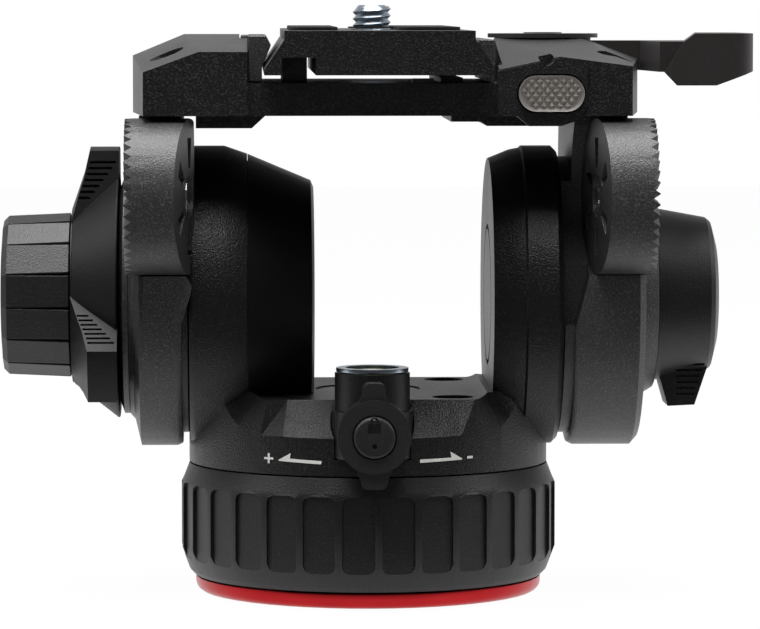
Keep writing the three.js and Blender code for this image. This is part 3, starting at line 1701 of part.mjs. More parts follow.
function screwWasher() {
  const bottom = plateTop + seatGap;
  const ring = ringProfile(washerRadius, screwRadius + seatGap, bottom, bottom + washerHeight);
  return turnedZ(ring, mediumSides);
}

function plateStop() {
  const low = plateBottom - railHeight + seatGap;
  return rodZ(stopRadius, low, plateBottom + stopDepth - seatGap, smallSides, stopX, stopY);
}

// Assembly

function groupAt(x, y, z, ...members) {
  const holder = new THREE.Group();
  holder.position.set(x, y, z);
  holder.add(...members);
  return holder;
}

const head = new THREE.Group();

head.add(
  piece("base_plate", basePlate(), redAnodised),
  piece("tripod_thread_insert", threadInsert(), bareSteel),
  piece("pan_spindle", panSpindle(), bareSteel),
  piece("pan_fluid_cup", panFluidCup(), bareAluminium),
  piece("pan_retaining_nut", panRetainingNut(), bareSteel),
);

const dragRing = piece("pan_drag_ring", panDragRing(), mouldedBlack);
dragRing.rotation.z = radians(ringTurn);
head.add(dragRing);

head.add(
  piece("yoke", yoke(), powderCoat),
  piece("pan_fluid_rotor", panFluidRotor(), bareAluminium),
  piece("pan_thrust_bearing", panThrustBearing(), bareSteel),
  piece("floor_cover", floorCover(), powderCoat),
  piece("level_housing", levelHousing(), mouldedBlack),
  piece("level_vial", levelVial(), vialPlastic),
  piece("level_bezel", levelBezel(), zincSteel),
  piece("counterbalance_cover", counterbalanceCover(), satinBlack),
  piece("counterbalance_spring", counterbalanceSpring(), bareSteel),
  piece("left_tilt_bearing", tiltBearing(leftTowerOuter + seatGap), bareSteel),
  piece("right_tilt_bearing", tiltBearing(openingRight + rightWall + seatGap), bareSteel),
  piece("tilt_fluid_cup", tiltFluidCup(), bareAluminium),
  piece("pan_brake_shoe", panBrakeShoe(), brassMetal),
);

head.add(groupAt(
  0, 0, lockHeight,
  piece("pan_lock_lever", panLockLever(), mouldedBlack),
  piece("pan_lock_cap", panLockCap(), satinBlack),
  piece("pan_lock_spindle", panLockSpindle(), bareSteel),
));

const leftRosetteSide = groupAt(
  leftRosetteX, rosetteY, rosetteRise,
  piece("left_rosette", leftRosette(), mattBlack),
  piece("left_rosette_bush", rosetteBush(leftRosetteWidth), bareSteel),
);
leftRosetteSide.rotation.z = Math.PI;
const rightRosetteSide = groupAt(
  rightRosetteX, rosetteY, rosetteRise,
  piece("right_rosette", rosette(rightRosetteWidth, rightRosetteSlant), mattBlack),
  piece("right_rosette_bush", rosetteBush(rightRosetteWidth), bareSteel),
);

const carrier = groupAt(
  0, 0, carrierRise,
  piece("plate_carrier", plateCarrier(), powderCoat),
  piece("fixed_jaw", fixedJaw(), mattBlack),
  piece("moving_jaw", movingJaw(), mattBlack),
  piece("front_jaw_spring", jawSpring(-jawSpringY), bareSteel),
  piece("rear_jaw_spring", jawSpring(jawSpringY), bareSteel),
  piece("plate_lock_lever", plateLockLever(), satinBlack),
  piece("lever_pivot_screw", leverPivotScrew(), bareSteel),
  piece("safety_button", safetyButton(), greyPlastic),
  piece("button_spring", buttonSpring(), bareSteel),
  piece("safety_catch", safetyCatch(), bareSteel),
  piece("camera_plate", cameraPlate(), powderCoat),
  piece("left_grip_pad", gripPad(leftPadLeft, leftPadRight), rubber),
  piece("right_grip_pad", gripPad(rightPadLeft, rightPadRight), rubber),
  piece("plate_stop", plateStop(), bareSteel),
  groupAt(
    plateX, 0, 0,
    piece("camera_screw", cameraScrew(), zincSteel),
    piece("screw_washer", screwWasher(), nylon),
  ),
);

head.add(groupAt(
  0, 0, tiltHeight,
  piece("left_arm", leftArm(), mattBlack),
  piece("right_arm", rightArm(), mattBlack),
  piece("left_tilt_axle", tiltAxle(leftAxleOuter, leftAxleInner), bareSteel),
  piece("right_tilt_axle", tiltAxle(rightAxleInner, rightAxleOuter), bareSteel),
  piece("tilt_fluid_rotor", tiltFluidRotor(), bareAluminium),
  piece("selector_flange", selectorFlange(), mattBlack),
  piece("counterbalance_selector", counterbalanceSelector(), mouldedBlack),
  piece("tilt_drag_knob", tiltDragKnob(), mouldedBlack),
  piece("tilt_drag_cap", tiltDragCap(), mouldedBlack),
  piece("tilt_lock_collar", tiltLockCollar(), mattBlack),
  piece("tilt_lock_lever", tiltLockLever(), mouldedBlack),
  leftRosetteSide,
  rightRosetteSide,
  carrier,
));

export default head;
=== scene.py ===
"""A flat-base fluid video head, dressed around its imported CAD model, in metres with +Z up."""

import json
import math

import bpy
from mathutils import Matrix, Vector


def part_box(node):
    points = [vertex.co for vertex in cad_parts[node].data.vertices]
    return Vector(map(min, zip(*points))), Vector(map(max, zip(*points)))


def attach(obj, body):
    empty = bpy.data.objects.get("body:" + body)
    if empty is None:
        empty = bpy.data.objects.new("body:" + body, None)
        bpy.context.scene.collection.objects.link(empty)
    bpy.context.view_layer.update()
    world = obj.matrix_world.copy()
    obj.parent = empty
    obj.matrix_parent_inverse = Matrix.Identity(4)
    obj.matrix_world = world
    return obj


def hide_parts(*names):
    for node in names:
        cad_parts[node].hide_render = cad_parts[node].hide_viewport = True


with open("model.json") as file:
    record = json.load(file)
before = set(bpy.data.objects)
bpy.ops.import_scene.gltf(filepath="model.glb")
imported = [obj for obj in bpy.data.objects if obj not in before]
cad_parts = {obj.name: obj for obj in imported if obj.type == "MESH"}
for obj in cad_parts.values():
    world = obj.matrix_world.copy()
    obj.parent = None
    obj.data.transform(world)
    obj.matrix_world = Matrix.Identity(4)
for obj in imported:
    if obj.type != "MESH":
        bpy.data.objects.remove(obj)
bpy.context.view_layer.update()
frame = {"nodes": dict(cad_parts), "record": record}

MM = 0.001

# The photograph's view: a long lens a little left of the pan axis, level with the camera plate.
PHOTO_WIDTH = 760
PHOTO_HEIGHT = 629
PAN_AXIS_COLUMN = 368
HORIZON_ROW = 8
FOCAL_PIXELS = 4600
CAMERA_DISTANCE = 1104 * MM
CAMERA_HEIGHT = 139.7 * MM
CAMERA_AZIMUTH = math.radians(-1.5)
SENSOR_WIDTH = 36

# The studio's softboxes: name, place, width and height in metres, and power in watts
SOFTBOXES = [
    ("top_softbox", (-0.05, -0.05, 1.3), 0.9, 0.9, 26),
    ("front_softbox", (-0.15, -0.6, 1.15), 0.8, 0.35, 7),
    ("left_softbox", (-1.1, -0.05, 0.95), 0.6, 0.6, 7),
    ("right_softbox", (1.1, -0.05, 0.95), 0.6, 0.6, 7),
]
SOFTBOX_AIM = (0, 0, 80 * MM)

# How bright the surroundings look in reflections: the dim room in front of the object, the white
# sweep behind it, the sweep's darker top, and the table behind the object
ROOM_LEVEL = 0.05
SWEEP_LEVEL = 0.62
CEILING_LEVEL = 0.2
TABLE_LEVEL = 1.1

# How much light the surroundings shed on matt surfaces
FILL_LEVEL = 0.08

# The table: side and depth below the base in metres, the share of it that glows of its own, and its
# brightness to the camera, a little past white
FLOOR_SIZE = 5
FLOOR_DROP = 0.2 * MM
FLOOR_GLOW_SHARE = 0.95
FLOOR_WHITE = 1.03
PAPER_COLOUR = "#a4a4a4"

# Sizes shared with the CAD model
BAND_RADIUS = 43 * MM
TILT_HEIGHT = 71 * MM
SCREW_RECESSES = [(19.3 * MM, -25.7 * MM), (19.3 * MM, 25.7 * MM)]
SCREW_RECESS_FLOOR = 45.8 * MM

# Vertices closer than this are one, in a copy of a CAD node and in a piece made here
CAD_MERGE = 0.002 * MM
MERGE = 0.001 * MM

# CAD faces that meet at fewer degrees than this become one
FLAT_ANGLE = 0.8

# A bevelled piece stays smooth across edges this many degrees sharper than the ones it bevels
SMOOTH_MARGIN = 4

BODY_OF = {
    node: body for body, nodes in frame["record"]["behaviour"]["bodies"].items() for node in nodes
}
SLOT_OF = {part["node"]: part["material_slot"] for part in frame["record"]["subparts"]}


# Selecting and editing

def select_only(*objects):
    if bpy.context.object and bpy.context.object.mode != "OBJECT":
        bpy.ops.object.mode_set(mode="OBJECT")
    bpy.ops.object.select_all(action="DESELECT")
    for chosen in objects:
        chosen.select_set(True)
    bpy.context.view_layer.objects.active = objects[0]


def edit(piece):
    select_only(piece)
    bpy.ops.object.mode_set(mode="EDIT")
    bpy.ops.mesh.select_all(action="SELECT")


def end_edit():
    bpy.ops.object.mode_set(mode="OBJECT")


def apply_modifier(piece, kind, **settings):
    select_only(piece)
    modifier = piece.modifiers.new(kind.title(), kind)
    for name, value in settings.items():
        setattr(modifier, name, value)
    bpy.ops.object.modifier_apply(modifier=modifier.name)


def smooth(piece, degrees):
    select_only(piece)
    bpy.ops.object.shade_smooth_by_angle(angle=math.radians(degrees))


def give(piece, material):
    piece.data.materials.clear()
    piece.data.materials.append(material)


def settle(piece, name, body, material):
    """The piece's place goes into its mesh, and it takes its name, finish and body."""
    select_only(piece)
    bpy.ops.object.transform_apply(location=True, rotation=True, scale=True)
    piece.name = name
    piece.data.name = name
    give(piece, material)
    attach(piece, body)


def copied(node):
    """A merged copy of a CAD node, with whole flat faces, ready to be worked on."""
    source = frame["nodes"][node]
    piece = source.copy()
    piece.data = source.data.copy()
    bpy.context.scene.collection.objects.link(piece)
    piece.parent = None
    piece.matrix_world = Matrix.Identity(4)
    edit(piece)
    bpy.ops.mesh.remove_doubles(threshold=CAD_MERGE)
    bpy.ops.mesh.dissolve_limited(angle_limit=math.radians(FLAT_ANGLE))
    end_edit()
    return piece


def soften(piece, width, angle):
    """Rounds the edges sharper than angle, and shades wide faces flat and narrow ones smooth."""
    apply_modifier(
        piece, "BEVEL", width=width, segments=2, limit_method="ANGLE",
        angle_limit=math.radians(angle), use_clamp_overlap=True,
    )
    smooth(piece, angle + SMOOTH_MARGIN)
    apply_modifier(piece, "WEIGHTED_NORMAL", keep_sharp=True)


def stand_for(piece, node, material):
    """The piece takes the node's place, body and finish."""
    settle(piece, node + "_finished", BODY_OF[node], material)
    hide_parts(node)


def placed(piece, place, turn=(0, 0, 0)):
    """Moves a piece made at the origin to its place, turned by degrees about X, Y and Z.

    Both go into its mesh."""
    piece.location = place
    piece.rotation_euler = [math.radians(degrees) for degrees in turn]
    select_only(piece)
    bpy.ops.object.transform_apply(location=True, rotation=True, scale=True)
    return piece


def joined(pieces):
    select_only(*pieces)
    bpy.ops.object.join()
    return pieces[0]


def carve(piece, tool, operation="DIFFERENCE"):
    apply_modifier(piece, "BOOLEAN", operation=operation, object=tool, solver="EXACT")
    bpy.data.objects.remove(tool)


def turned(profile, sides):
    """A turned solid on its own Z axis: a disc raised through pairs of radius and height."""
    (radius, height), *steps = profile
    bpy.ops.object.select_all(action="DESELECT")
    bpy.ops.mesh.primitive_circle_add(
        vertices=sides, radius=radius, fill_type="NGON", location=(0, 0, height),
    )
    piece = bpy.context.object
    edit(piece)
    for wider, higher in steps:
        bpy.ops.mesh.extrude_region_move(
            TRANSFORM_OT_translate={"value": (0, 0, higher - height)},
        )
        bpy.ops.transform.resize(value=(wider / radius, wider / radius, 1))
        radius, height = wider, higher
    bpy.ops.mesh.select_all(action="SELECT")
    bpy.ops.mesh.normals_make_consistent(inside=False)
    end_edit()
    return placed(piece, (0, 0, piece.location.z))


def slab(width, depth, height, place):
    """A block of the given sizes along X, Y and Z around its place."""
    bpy.ops.object.select_all(action="DESELECT")
    bpy.ops.mesh.primitive_cube_add(size=1)
    piece = bpy.context.object
    piece.scale = (width, depth, height)
    return placed(piece, place)


# Materials

def linear(hex_colour):
    shares = [int(hex_colour[i:i + 2], 16) / 255 for i in (1, 3, 5)]
    return [c / 12.92 if c <= 0.04045 else ((c + 0.055) / 1.055) ** 2.4 for c in shares] + [1]


def add_node(tree, kind, inputs, **settings):
    """Adds a node, sets its properties, and fills each input with a value or links a socket."""
    node = tree.nodes.new(kind)
    for name, value in settings.items():
        setattr(node, name, value)
    for name, value in inputs.items():
        if isinstance(value, bpy.types.NodeSocket):
            tree.links.new(value, node.inputs[name])
        else:
            node.inputs[name].default_value = value
    return node


# The colour inputs and output of a Mix node that is set to colours
MIX_FACTOR, MIX_FIRST, MIX_SECOND, MIX_RESULT = 0, 6, 7, 2

# A fine grain turns paler where its noise, which keeps near 0.5, passes these two levels; the paler
# specks are partly random tone, partly a painted glint on the high points.
FLECK_AND_GLINT_START = 0.52
FLECK_AND_GLINT_FULL = 0.78

# A finish's gloss varies by this much roughness either way, in patches of this size.
GLOSS_SWING = 0.06
GLOSS_PATCH = 22 * MM

# A Wave texture of scale 1 repeats every 0.314 m, so this draws lathe rings at 1.9 times their real
# spacing, which lets them show.
RING_REACH = 6


def new_surface(name):
    """A bare material: its node tree and a place to read patterns from."""
    material = bpy.data.materials.new(name)
    material.use_nodes = True
    tree = material.node_tree
    tree.nodes.clear()
    place = add_node(tree, "ShaderNodeTexCoord", {}).outputs["Object"]
    return material, tree, place


def finish_surface(tree, **inputs):
    named = {name.replace("_", " "): value for name, value in inputs.items()}
    if "Specular" in named:
        named["Specular IOR Level"] = named.pop("Specular")
    shader = add_node(tree, "ShaderNodeBsdfPrincipled", named)
    add_node(tree, "ShaderNodeOutputMaterial", {"Surface": shader.outputs["BSDF"]})


def grained(name, colour, fleck_and_glint, roughness, grain, depth, specular):
    """A finish with a fine grain, paler specks on its high points that are partly a painted glint,
    and a gloss that varies slowly.

    grain and depth are the drawn grain's size and height in metres. Where the comment of a finish
    names no real size, the grain is drawn up to twice as coarse as it is, so that it shows."""
    material, tree, place = new_surface(name)
    fine = add_node(tree, "ShaderNodeTexNoise", {
        "Vector": place, "Scale": 1 / grain, "Detail": 1.0,
    })
    broad = add_node(tree, "ShaderNodeTexNoise", {
        "Vector": place, "Scale": 1 / GLOSS_PATCH, "Detail": 2.0,
    })
    high = add_node(tree, "ShaderNodeMapRange", {
        "Value": fine.outputs["Fac"], "From Min": FLECK_AND_GLINT_START, "From Max": FLECK_AND_GLINT_FULL,
    })
    tint = add_node(tree, "ShaderNodeMix", {
        MIX_FACTOR: high.outputs["Result"], MIX_FIRST: linear(colour), MIX_SECOND: linear(fleck_and_glint),
    }, data_type="RGBA")
    gloss = add_node(tree, "ShaderNodeMapRange", {
        "Value": broad.outputs["Fac"],
        "To Min": roughness - GLOSS_SWING, "To Max": roughness + GLOSS_SWING,
    })
    bump = add_node(tree, "ShaderNodeBump", {"Height": fine.outputs["Fac"], "Distance": depth})
    finish_surface(
        tree, Base_Color=tint.outputs[MIX_RESULT], Roughness=gloss.outputs["Result"],
        Specular=specular, Normal=bump.outputs["Normal"],
    )
    return material


def powder_coat():
    # Cast aluminium under polyester powder coat: orange-peel grain whose faint sparkle is painted
    # as paler specks on its high points.
    # The real grain is about 0.2 mm; it is drawn at 0.38 mm so that it shows.
    return grained("powder_coated_aluminium", "#151516", "#3c3c3d", 0.38, 0.38 * MM, 0.16 * MM, 0.5)


def soft_paint():
    # Cast aluminium, bead-blasted and painted matt: an even dark grey that catches soft light.
    return grained(
        "blasted_painted_aluminium", "#303031", "#5a5a5b", 0.42, 0.38 * MM, 0.12 * MM, 0.5,
    )


def textured_moulding():
    # Glass-filled nylon from a spark-eroded mould: a dry, leathery grain.
    return grained("textured_nylon", "#151517", "#29292b", 0.42, 0.36 * MM, 0.07 * MM, 0.45)


def satin_moulding():
    # ABS from a finely etched mould: nearly smooth, with a soft sheen.
    return grained("satin_abs", "#0b0b0c", "#121213", 0.38, 0.4 * MM, 0.012 * MM, 0.35)


def lit_moulding():
    # The textured nylon in a paler copy: painted light, a touch paler than the textured parts
    # beside it.
    return grained("lit_nylon", "#222122", "#2f2e2f", 0.45, 0.36 * MM, 0.03 * MM, 0.45)


def shaded_moulding():
    # The textured nylon in a darker copy: painted shade, darker than the textured parts around it.
    return grained("shaded_nylon", "#0b0b0c", "#161618", 0.48, 0.36 * MM, 0.05 * MM, 0.22)


def shaded_yoke_coat():
    # The yoke's powder coat: the same grain on cast aluminium, in a darker copy than the plate
    # carrier's, as painted shade.
    return grained("shaded_yoke_powder_coat", "#0f0f10", "#2e2e2f", 0.4, 0.38 * MM, 0.16 * MM, 0.42)


def satin_lever():
    # Die-cast zinc with a warm dark grey satin lacquer.
    return grained("satin_lacquered_zinc", "#2b2928", "#343231", 0.42, 0.5 * MM, 0.02 * MM, 0.5)


def grey_moulding():
    # Acetal in a warm grey: smooth, a little waxy.
    return grained("grey_acetal", "#7d7974", "#8f8b86", 0.48, 0.5 * MM, 0.015 * MM, 0.4)


def grip_rubber():
    # Nitrile rubber sheet: dull and dusty.
    return grained("nitrile_rubber", "#151515", "#222222", 0.82, 0.5 * MM, 0.05 * MM, 0.3)


def red_anodising():
    # Turned aluminium, dyed and sealed: clear red over metal, with fine rings left by the lathe.
    # The real rings are about 0.1 mm apart; they are drawn 0.75 mm apart so that they show.
    material, tree, place = new_surface("red_anodised_aluminium")
    broad = add_node(tree, "ShaderNodeTexNoise", {
        "Vector": place, "Scale": 1 / (14 * MM), "Detail": 2.0,
    })
    tint = add_node(tree, "ShaderNodeMix", {
        MIX_FACTOR: broad.outputs["Fac"],
        MIX_FIRST: linear("#a3171c"), MIX_SECOND: linear("#c0252a"),
    }, data_type="RGBA")
    rings = add_node(tree, "ShaderNodeTexWave", {
        "Vector": place, "Scale": 1 / (2.4 * MM), "Distortion": 0.2,
    }, wave_type="BANDS", bands_direction="Z")
    bump = add_node(tree, "ShaderNodeBump", {
        "Height": rings.outputs["Fac"], "Distance": 0.002 * MM,
    })
    finish_surface(
        tree, Base_Color=tint.outputs[MIX_RESULT], Metallic=0.88, Roughness=0.3,
        Normal=bump.outputs["Normal"],
    )
    return material


def turned_metal(name, colour, roughness, ring_spacing, direction):
    """Bare or plated metal with the rings of a lathe tool, whose real spacing is in metres."""
    material, tree, place = new_surface(name)
    broad = add_node(tree, "ShaderNodeTexNoise", {
        "Vector": place, "Scale": 1 / (5 * MM), "Detail": 3.0,
    })
    gloss = add_node(tree, "ShaderNodeMapRange", {
        "Value": broad.outputs["Fac"], "To Min": roughness - 0.08, "To Max": roughness + 0.1,
    })
    rings = add_node(tree, "ShaderNodeTexWave", {
        "Vector": place, "Scale": 1 / (RING_REACH * ring_spacing), "Distortion": 0.4, "Detail": 1.0,
    }, wave_type="BANDS", bands_direction=direction)
    bump = add_node(tree, "ShaderNodeBump", {
        "Height": rings.outputs["Fac"], "Distance": 0.004 * MM,
    })
    finish_surface(
        tree, Base_Color=linear(colour), Metallic=1.0, Roughness=gloss.outputs["Result"],
        Normal=bump.outputs["Normal"],
    )
    return material


def tinted_liquid():
    # Acrylic vial filled with tinted alcohol: clear yellow-green, read as glossy from above.
    material, tree, place = new_surface("tinted_vial")
    shade = add_node(tree, "ShaderNodeTexNoise", {"Vector": place, "Scale": 1 / (6 * MM)})
    tint = add_node(tree, "ShaderNodeMix", {
        MIX_FACTOR: shade.outputs["Fac"],
        MIX_FIRST: linear("#a9b93a"), MIX_SECOND: linear("#c3d052"),
    }, data_type="RGBA")
    finish_surface(tree, Base_Color=tint.outputs[MIX_RESULT], Roughness=0.06)
    return material


def white_ink():
    # Pad-printed ink: a thin, slightly broken off-white film.
    return grained("white_print", "#d8d8d4", "#efefec", 0.6, 0.3 * MM, 0.004 * MM, 0.3)


MATERIALS = {
    "red_anodised": red_anodising(),
    "powder_coat": powder_coat(),
    "matt_black": soft_paint(),
    "moulded_black": textured_moulding(),
    "satin_black": satin_moulding(),
    "grey_plastic": grey_moulding(),
    # Zinc plating on steel has a bluish, slightly cloudy shine.
    "zinc_steel": turned_metal("zinc_plated_steel", "#b4bfca", 0.28, 0.25 * MM, "Z"),
    "bare_steel": turned_metal("turned_steel", "#9c9c9c", 0.36, 0.3 * MM, "X"),
    "bare_aluminium": turned_metal("turned_aluminium", "#b3b5b7", 0.4, 0.3 * MM, "Z"),
    "brass": turned_metal("turned_brass", "#a9853f", 0.35, 0.3 * MM, "Y"),
    "rubber": grip_rubber(),
    "vial_plastic": tinted_liquid(),
    "nylon": grained("black_nylon", "#1c1c1c", "#272727", 0.5, 0.5 * MM, 0.01 * MM, 0.4),
}
WHITE_PRINT = white_ink()
LIT_MOULDING = lit_moulding()
SHADED_MOULDING = shaded_moulding()

# Nodes whose finish isn't the common one of their record slot
FINISH_OF = {
    # The selector and its cone take the darker copy of the nylon: painted shade.
    "counterbalance_selector": SHADED_MOULDING,
    # The yoke takes the darker copy of the powder coat: painted shade.
    "yoke": shaded_yoke_coat(),
    "plate_lock_lever": satin_lever(),
    # The pan lock's lever and cap take the paler copy of the nylon: painted light.
    "pan_lock_lever": LIT_MOULDING,
    "pan_lock_cap": LIT_MOULDING,
}


def finish_of(node):
    return FINISH_OF.get(node, MATERIALS[SLOT_OF[node]])


def place_finishes():
    """Every CAD node gets its finish, the hidden ones too."""
    for node, piece in frame["nodes"].items():
        give(piece, finish_of(node))


# Pieces that keep the CAD's form and gain softened edges, with each edge's radius

SOFTENED = {
    "base_plate": 0.25 * MM,
    "pan_drag_ring": 0.22 * MM,
    "yoke": 0.45 * MM,
    "floor_cover": 0.3 * MM,
    "level_housing": 0.35 * MM,
    "level_bezel": 0.15 * MM,
    "counterbalance_cover": 0.4 * MM,
    "pan_lock_lever": 0.5 * MM,
    "left_arm": 0.5 * MM,
    "right_arm": 0.5 * MM,
    "left_rosette": 0.16 * MM,
    "right_rosette": 0.16 * MM,
    "selector_flange": 0.35 * MM,
    "counterbalance_selector": 0.4 * MM,
    "tilt_drag_knob": 0.4 * MM,
    "tilt_drag_cap": 0.2 * MM,
    "tilt_lock_collar": 0.4 * MM,
    "tilt_lock_lever": 0.7 * MM,
    "plate_carrier": 0.5 * MM,
    "fixed_jaw": 0.3 * MM,
    "moving_jaw": 0.3 * MM,
    "plate_lock_lever": 0.9 * MM,
    "camera_plate": 0.35 * MM,
    "left_grip_pad": 0.2 * MM,
    "right_grip_pad": 0.2 * MM,
}

# Edges blunter than this stay smooth; the knob's facets meet at only 24 degrees.
EDGE_ANGLE = 28
EDGE_ANGLE_OF = {"tilt_drag_knob": 17}


def pick_faces(piece, chosen):
    """In edit mode, selects only the faces that pass the test."""
    bpy.ops.mesh.select_mode(type="FACE")
    bpy.ops.mesh.select_all(action="DESELECT")
    bpy.ops.object.mode_set(mode="OBJECT")
    for face in piece.data.polygons:
        face.select = chosen(face)
    bpy.ops.object.mode_set(mode="EDIT")


def finish_castings_and_mouldings():
    for node, radius in SOFTENED.items():
        piece = copied(node)
        soften(piece, radius, EDGE_ANGLE_OF.get(node, EDGE_ANGLE))
        stand_for(piece, node, finish_of(node))


# Pieces that are made here, or that gain form here. Profiles are pairs of radius and height.

# The camera screw: its 3/8 inch thread has 16 turns to the inch.
SCREW_HEAD = [(6.4 * MM, 0), (6.8 * MM, 0.4 * MM), (6.8 * MM, 1.9 * MM), (6.5 * MM, 2.2 * MM)]
SCREW_HEAD_HEIGHT = 2.2 * MM
SCREW_PITCH = 1.5875 * MM
SCREW_CORE = 3.85 * MM
SCREW_CREST = 4.6 * MM
SCREW_THREAD_TURNS = 8
SCREW_THREAD_END = 0.9 * MM
SCREW_TIP_LENGTH = 0.8 * MM
SCREW_TIP_TAPER = 0.7 * MM
SCREW_SIDES = 48
SCREW_EDGE_ANGLE = 35
COIN_SLOT_LENGTH = 14 * MM
COIN_SLOT_WIDTH = 1.4 * MM
COIN_SLOT_HEIGHT = 1.6 * MM
COIN_SLOT_MIDDLE = 0.2 * MM


def camera_screw():
    """The plate's screw: a plain head with a coin slot, a shank and a rolled thread."""
    low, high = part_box("camera_screw")
    length = high.z - low.z
    screw = turned([
        *SCREW_HEAD, (SCREW_CORE, SCREW_HEAD_HEIGHT), (SCREW_CORE, length - SCREW_TIP_LENGTH),
        (SCREW_CORE - SCREW_TIP_TAPER, length),
    ], SCREW_SIDES)
    slot = slab(COIN_SLOT_LENGTH, COIN_SLOT_WIDTH, COIN_SLOT_HEIGHT, (0, 0, COIN_SLOT_MIDDLE))
    carve(screw, slot)
    bpy.ops.object.select_all(action="DESELECT")
    bpy.ops.mesh.primitive_circle_add(vertices=4, radius=SCREW_CREST - SCREW_CORE)
    start = length - SCREW_THREAD_END - SCREW_THREAD_TURNS * SCREW_PITCH
    thread = placed(bpy.context.object, (SCREW_CORE, 0, start), (90, 0, 0))
    apply_modifier(
        thread, "SCREW", angle=math.tau, screw_offset=SCREW_PITCH, iterations=SCREW_THREAD_TURNS,
        steps=32, render_steps=32, use_merge_vertices=False,
    )
    edit(thread)
    bpy.ops.mesh.remove_doubles(threshold=MERGE)
    bpy.ops.mesh.fill_holes(sides=4)
    bpy.ops.mesh.select_all(action="SELECT")
    bpy.ops.mesh.normals_make_consistent(inside=False)
    end_edit()
    screw = joined([screw, thread])
    smooth(screw, SCREW_EDGE_ANGLE)
    placed(screw, ((low.x + high.x) / 2, (low.y + high.y) / 2, low.z))
    stand_for(screw, "camera_screw", MATERIALS["zinc_steel"])


# The safety button's knurl: points in each row from the top, their spacing, and the face's depth
KNURL_ROWS = [6, 7, 8, 7, 6, 5]
KNURL_ACROSS = 1.84 * MM
KNURL_DOWN = 1.13 * MM
KNURL_SINK = 0.6 * MM
KNURL_RISE = 1.2 * KNURL_SINK
KNURL_TIP_SHARE = 0.12
BUTTON_RIM = 0.8 * MM
BUTTON_EDGE = 0.2 * MM
FACE_DEPTH = 0.1 * MM


def safety_button():
    """The button's face is sunk inside a plain rim and filled with staggered pyramid points."""
    low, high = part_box("safety_button")
    middle = Vector(((low.x + high.x) / 2, low.y + KNURL_SINK, (low.z + high.z) / 2))
    button = copied("safety_button")
    edit(button)
    pick_faces(button, lambda face: face.normal.y < -0.99 and face.center.y < low.y + FACE_DEPTH)
    bpy.ops.mesh.inset(thickness=BUTTON_RIM, depth=-KNURL_SINK)
    end_edit()
    soften(button, BUTTON_EDGE, EDGE_ANGLE)
    bpy.ops.object.select_all(action="DESELECT")
    bpy.ops.mesh.primitive_cone_add(vertices=4, radius1=1, radius2=KNURL_TIP_SHARE, depth=1)
    point = bpy.context.object
    point.scale = (KNURL_ACROSS / 2, KNURL_DOWN, KNURL_RISE)
    placed(point, (0, 0, 0), (90, 0, 0))
    points = []
    for row, count in enumerate(KNURL_ROWS):
        for k in range(count):
            copy = point.copy()
            copy.data = point.data.copy()
            bpy.context.scene.collection.objects.link(copy)
            across = (k - (count - 1) / 2) * KNURL_ACROSS
            down = ((len(KNURL_ROWS) - 1) / 2 - row) * KNURL_DOWN
            points.append(placed(copy, middle + Vector((across, -0.5 * KNURL_SINK, down))))
    bpy.data.objects.remove(point)
    stand_for(joined([button, *points]), "safety_button", MATERIALS["grey_plastic"])


# The marks sunk into the lock cap's face, with their heights from its middle
CAP_EDGE = 0.25 * MM
SHACKLE_RADIUS = 0.72 * MM
SHACKLE_BAR = 0.24 * MM
SHACKLE_STRETCH = (1, 1.25, 1.8)
SHACKLE_HEIGHT = 3.6 * MM
LOCK_BODY_WIDTH = 2.95 * MM
LOCK_BODY_TALL = 2.25 * MM
LOCK_BODY_HEIGHT = 2.15 * MM
DOT_RADIUS = 0.57 * MM
DOT_HEIGHT = -1.9 * MM
MARK_DEPTH = 0.8 * MM


def pan_lock_cap():
    """The lock's cap, engraved with a plain padlock and a dot."""
    low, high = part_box("pan_lock_cap")
    x, front, z = (low.x + high.x) / 2, low.y, (low.z + high.z) / 2
    cap = copied("pan_lock_cap")
    soften(cap, CAP_EDGE, EDGE_ANGLE)
    bpy.ops.object.select_all(action="DESELECT")
    bpy.ops.mesh.primitive_torus_add(
        major_radius=SHACKLE_RADIUS, minor_radius=SHACKLE_BAR, major_segments=24, minor_segments=8,
    )
    shackle = bpy.context.object
    shackle.scale = SHACKLE_STRETCH
    carve(cap, placed(shackle, (x, front, z + SHACKLE_HEIGHT), (90, 0, 0)))
    body_place = (x, front, z + LOCK_BODY_HEIGHT)
    carve(cap, slab(LOCK_BODY_WIDTH, 2 * MARK_DEPTH, LOCK_BODY_TALL, body_place))
    dot = turned([(DOT_RADIUS, -MARK_DEPTH), (DOT_RADIUS, MARK_DEPTH)], 20)
    carve(cap, placed(dot, (x, front, z + DOT_HEIGHT), (90, 0, 0)))
    smooth(cap, EDGE_ANGLE)
    stand_for(cap, "pan_lock_cap", finish_of("pan_lock_cap"))


# The print on the yoke's band, seen from the front: outlines of (x, z) in millimetres
PLUS_SIGN = [
    (-24.34, 36.17), (-23.86, 36.17), (-23.86, 35.22), (-23.06, 35.22),
    (-23.06, 34.74), (-23.86, 34.74), (-23.86, 33.8), (-24.34, 33.8),
    (-24.34, 34.74), (-25.14, 34.74), (-25.14, 35.22), (-24.34, 35.22),
]
LEFT_ARROW = [
    (-21.85, 34.74), (-19, 36.45), (-19.25, 35.15),
    (-11.87, 34.83), (-11.98, 34.08), (-21.65, 34.5),
]
RIGHT_ARROW = [
    (11, 35.15), (18.42, 35.34), (18.15, 36.72),
    (21, 34.98), (20.85, 34.74), (11, 34.38),
]
MINUS_SIGN = [(22.14, 35.48), (23.48, 35.48), (23.48, 34.9), (22.14, 34.9)]

# The ink's height above the band. The signs are drawn on a plane, extruded this far to both sides,
# and kept where they meet a thin shell around the band.
INK_HEIGHT = 0.07 * MM
PRINT_PLANE = -40 * MM
PRINT_REACH = 12 * MM
BAND_SIDES = 192


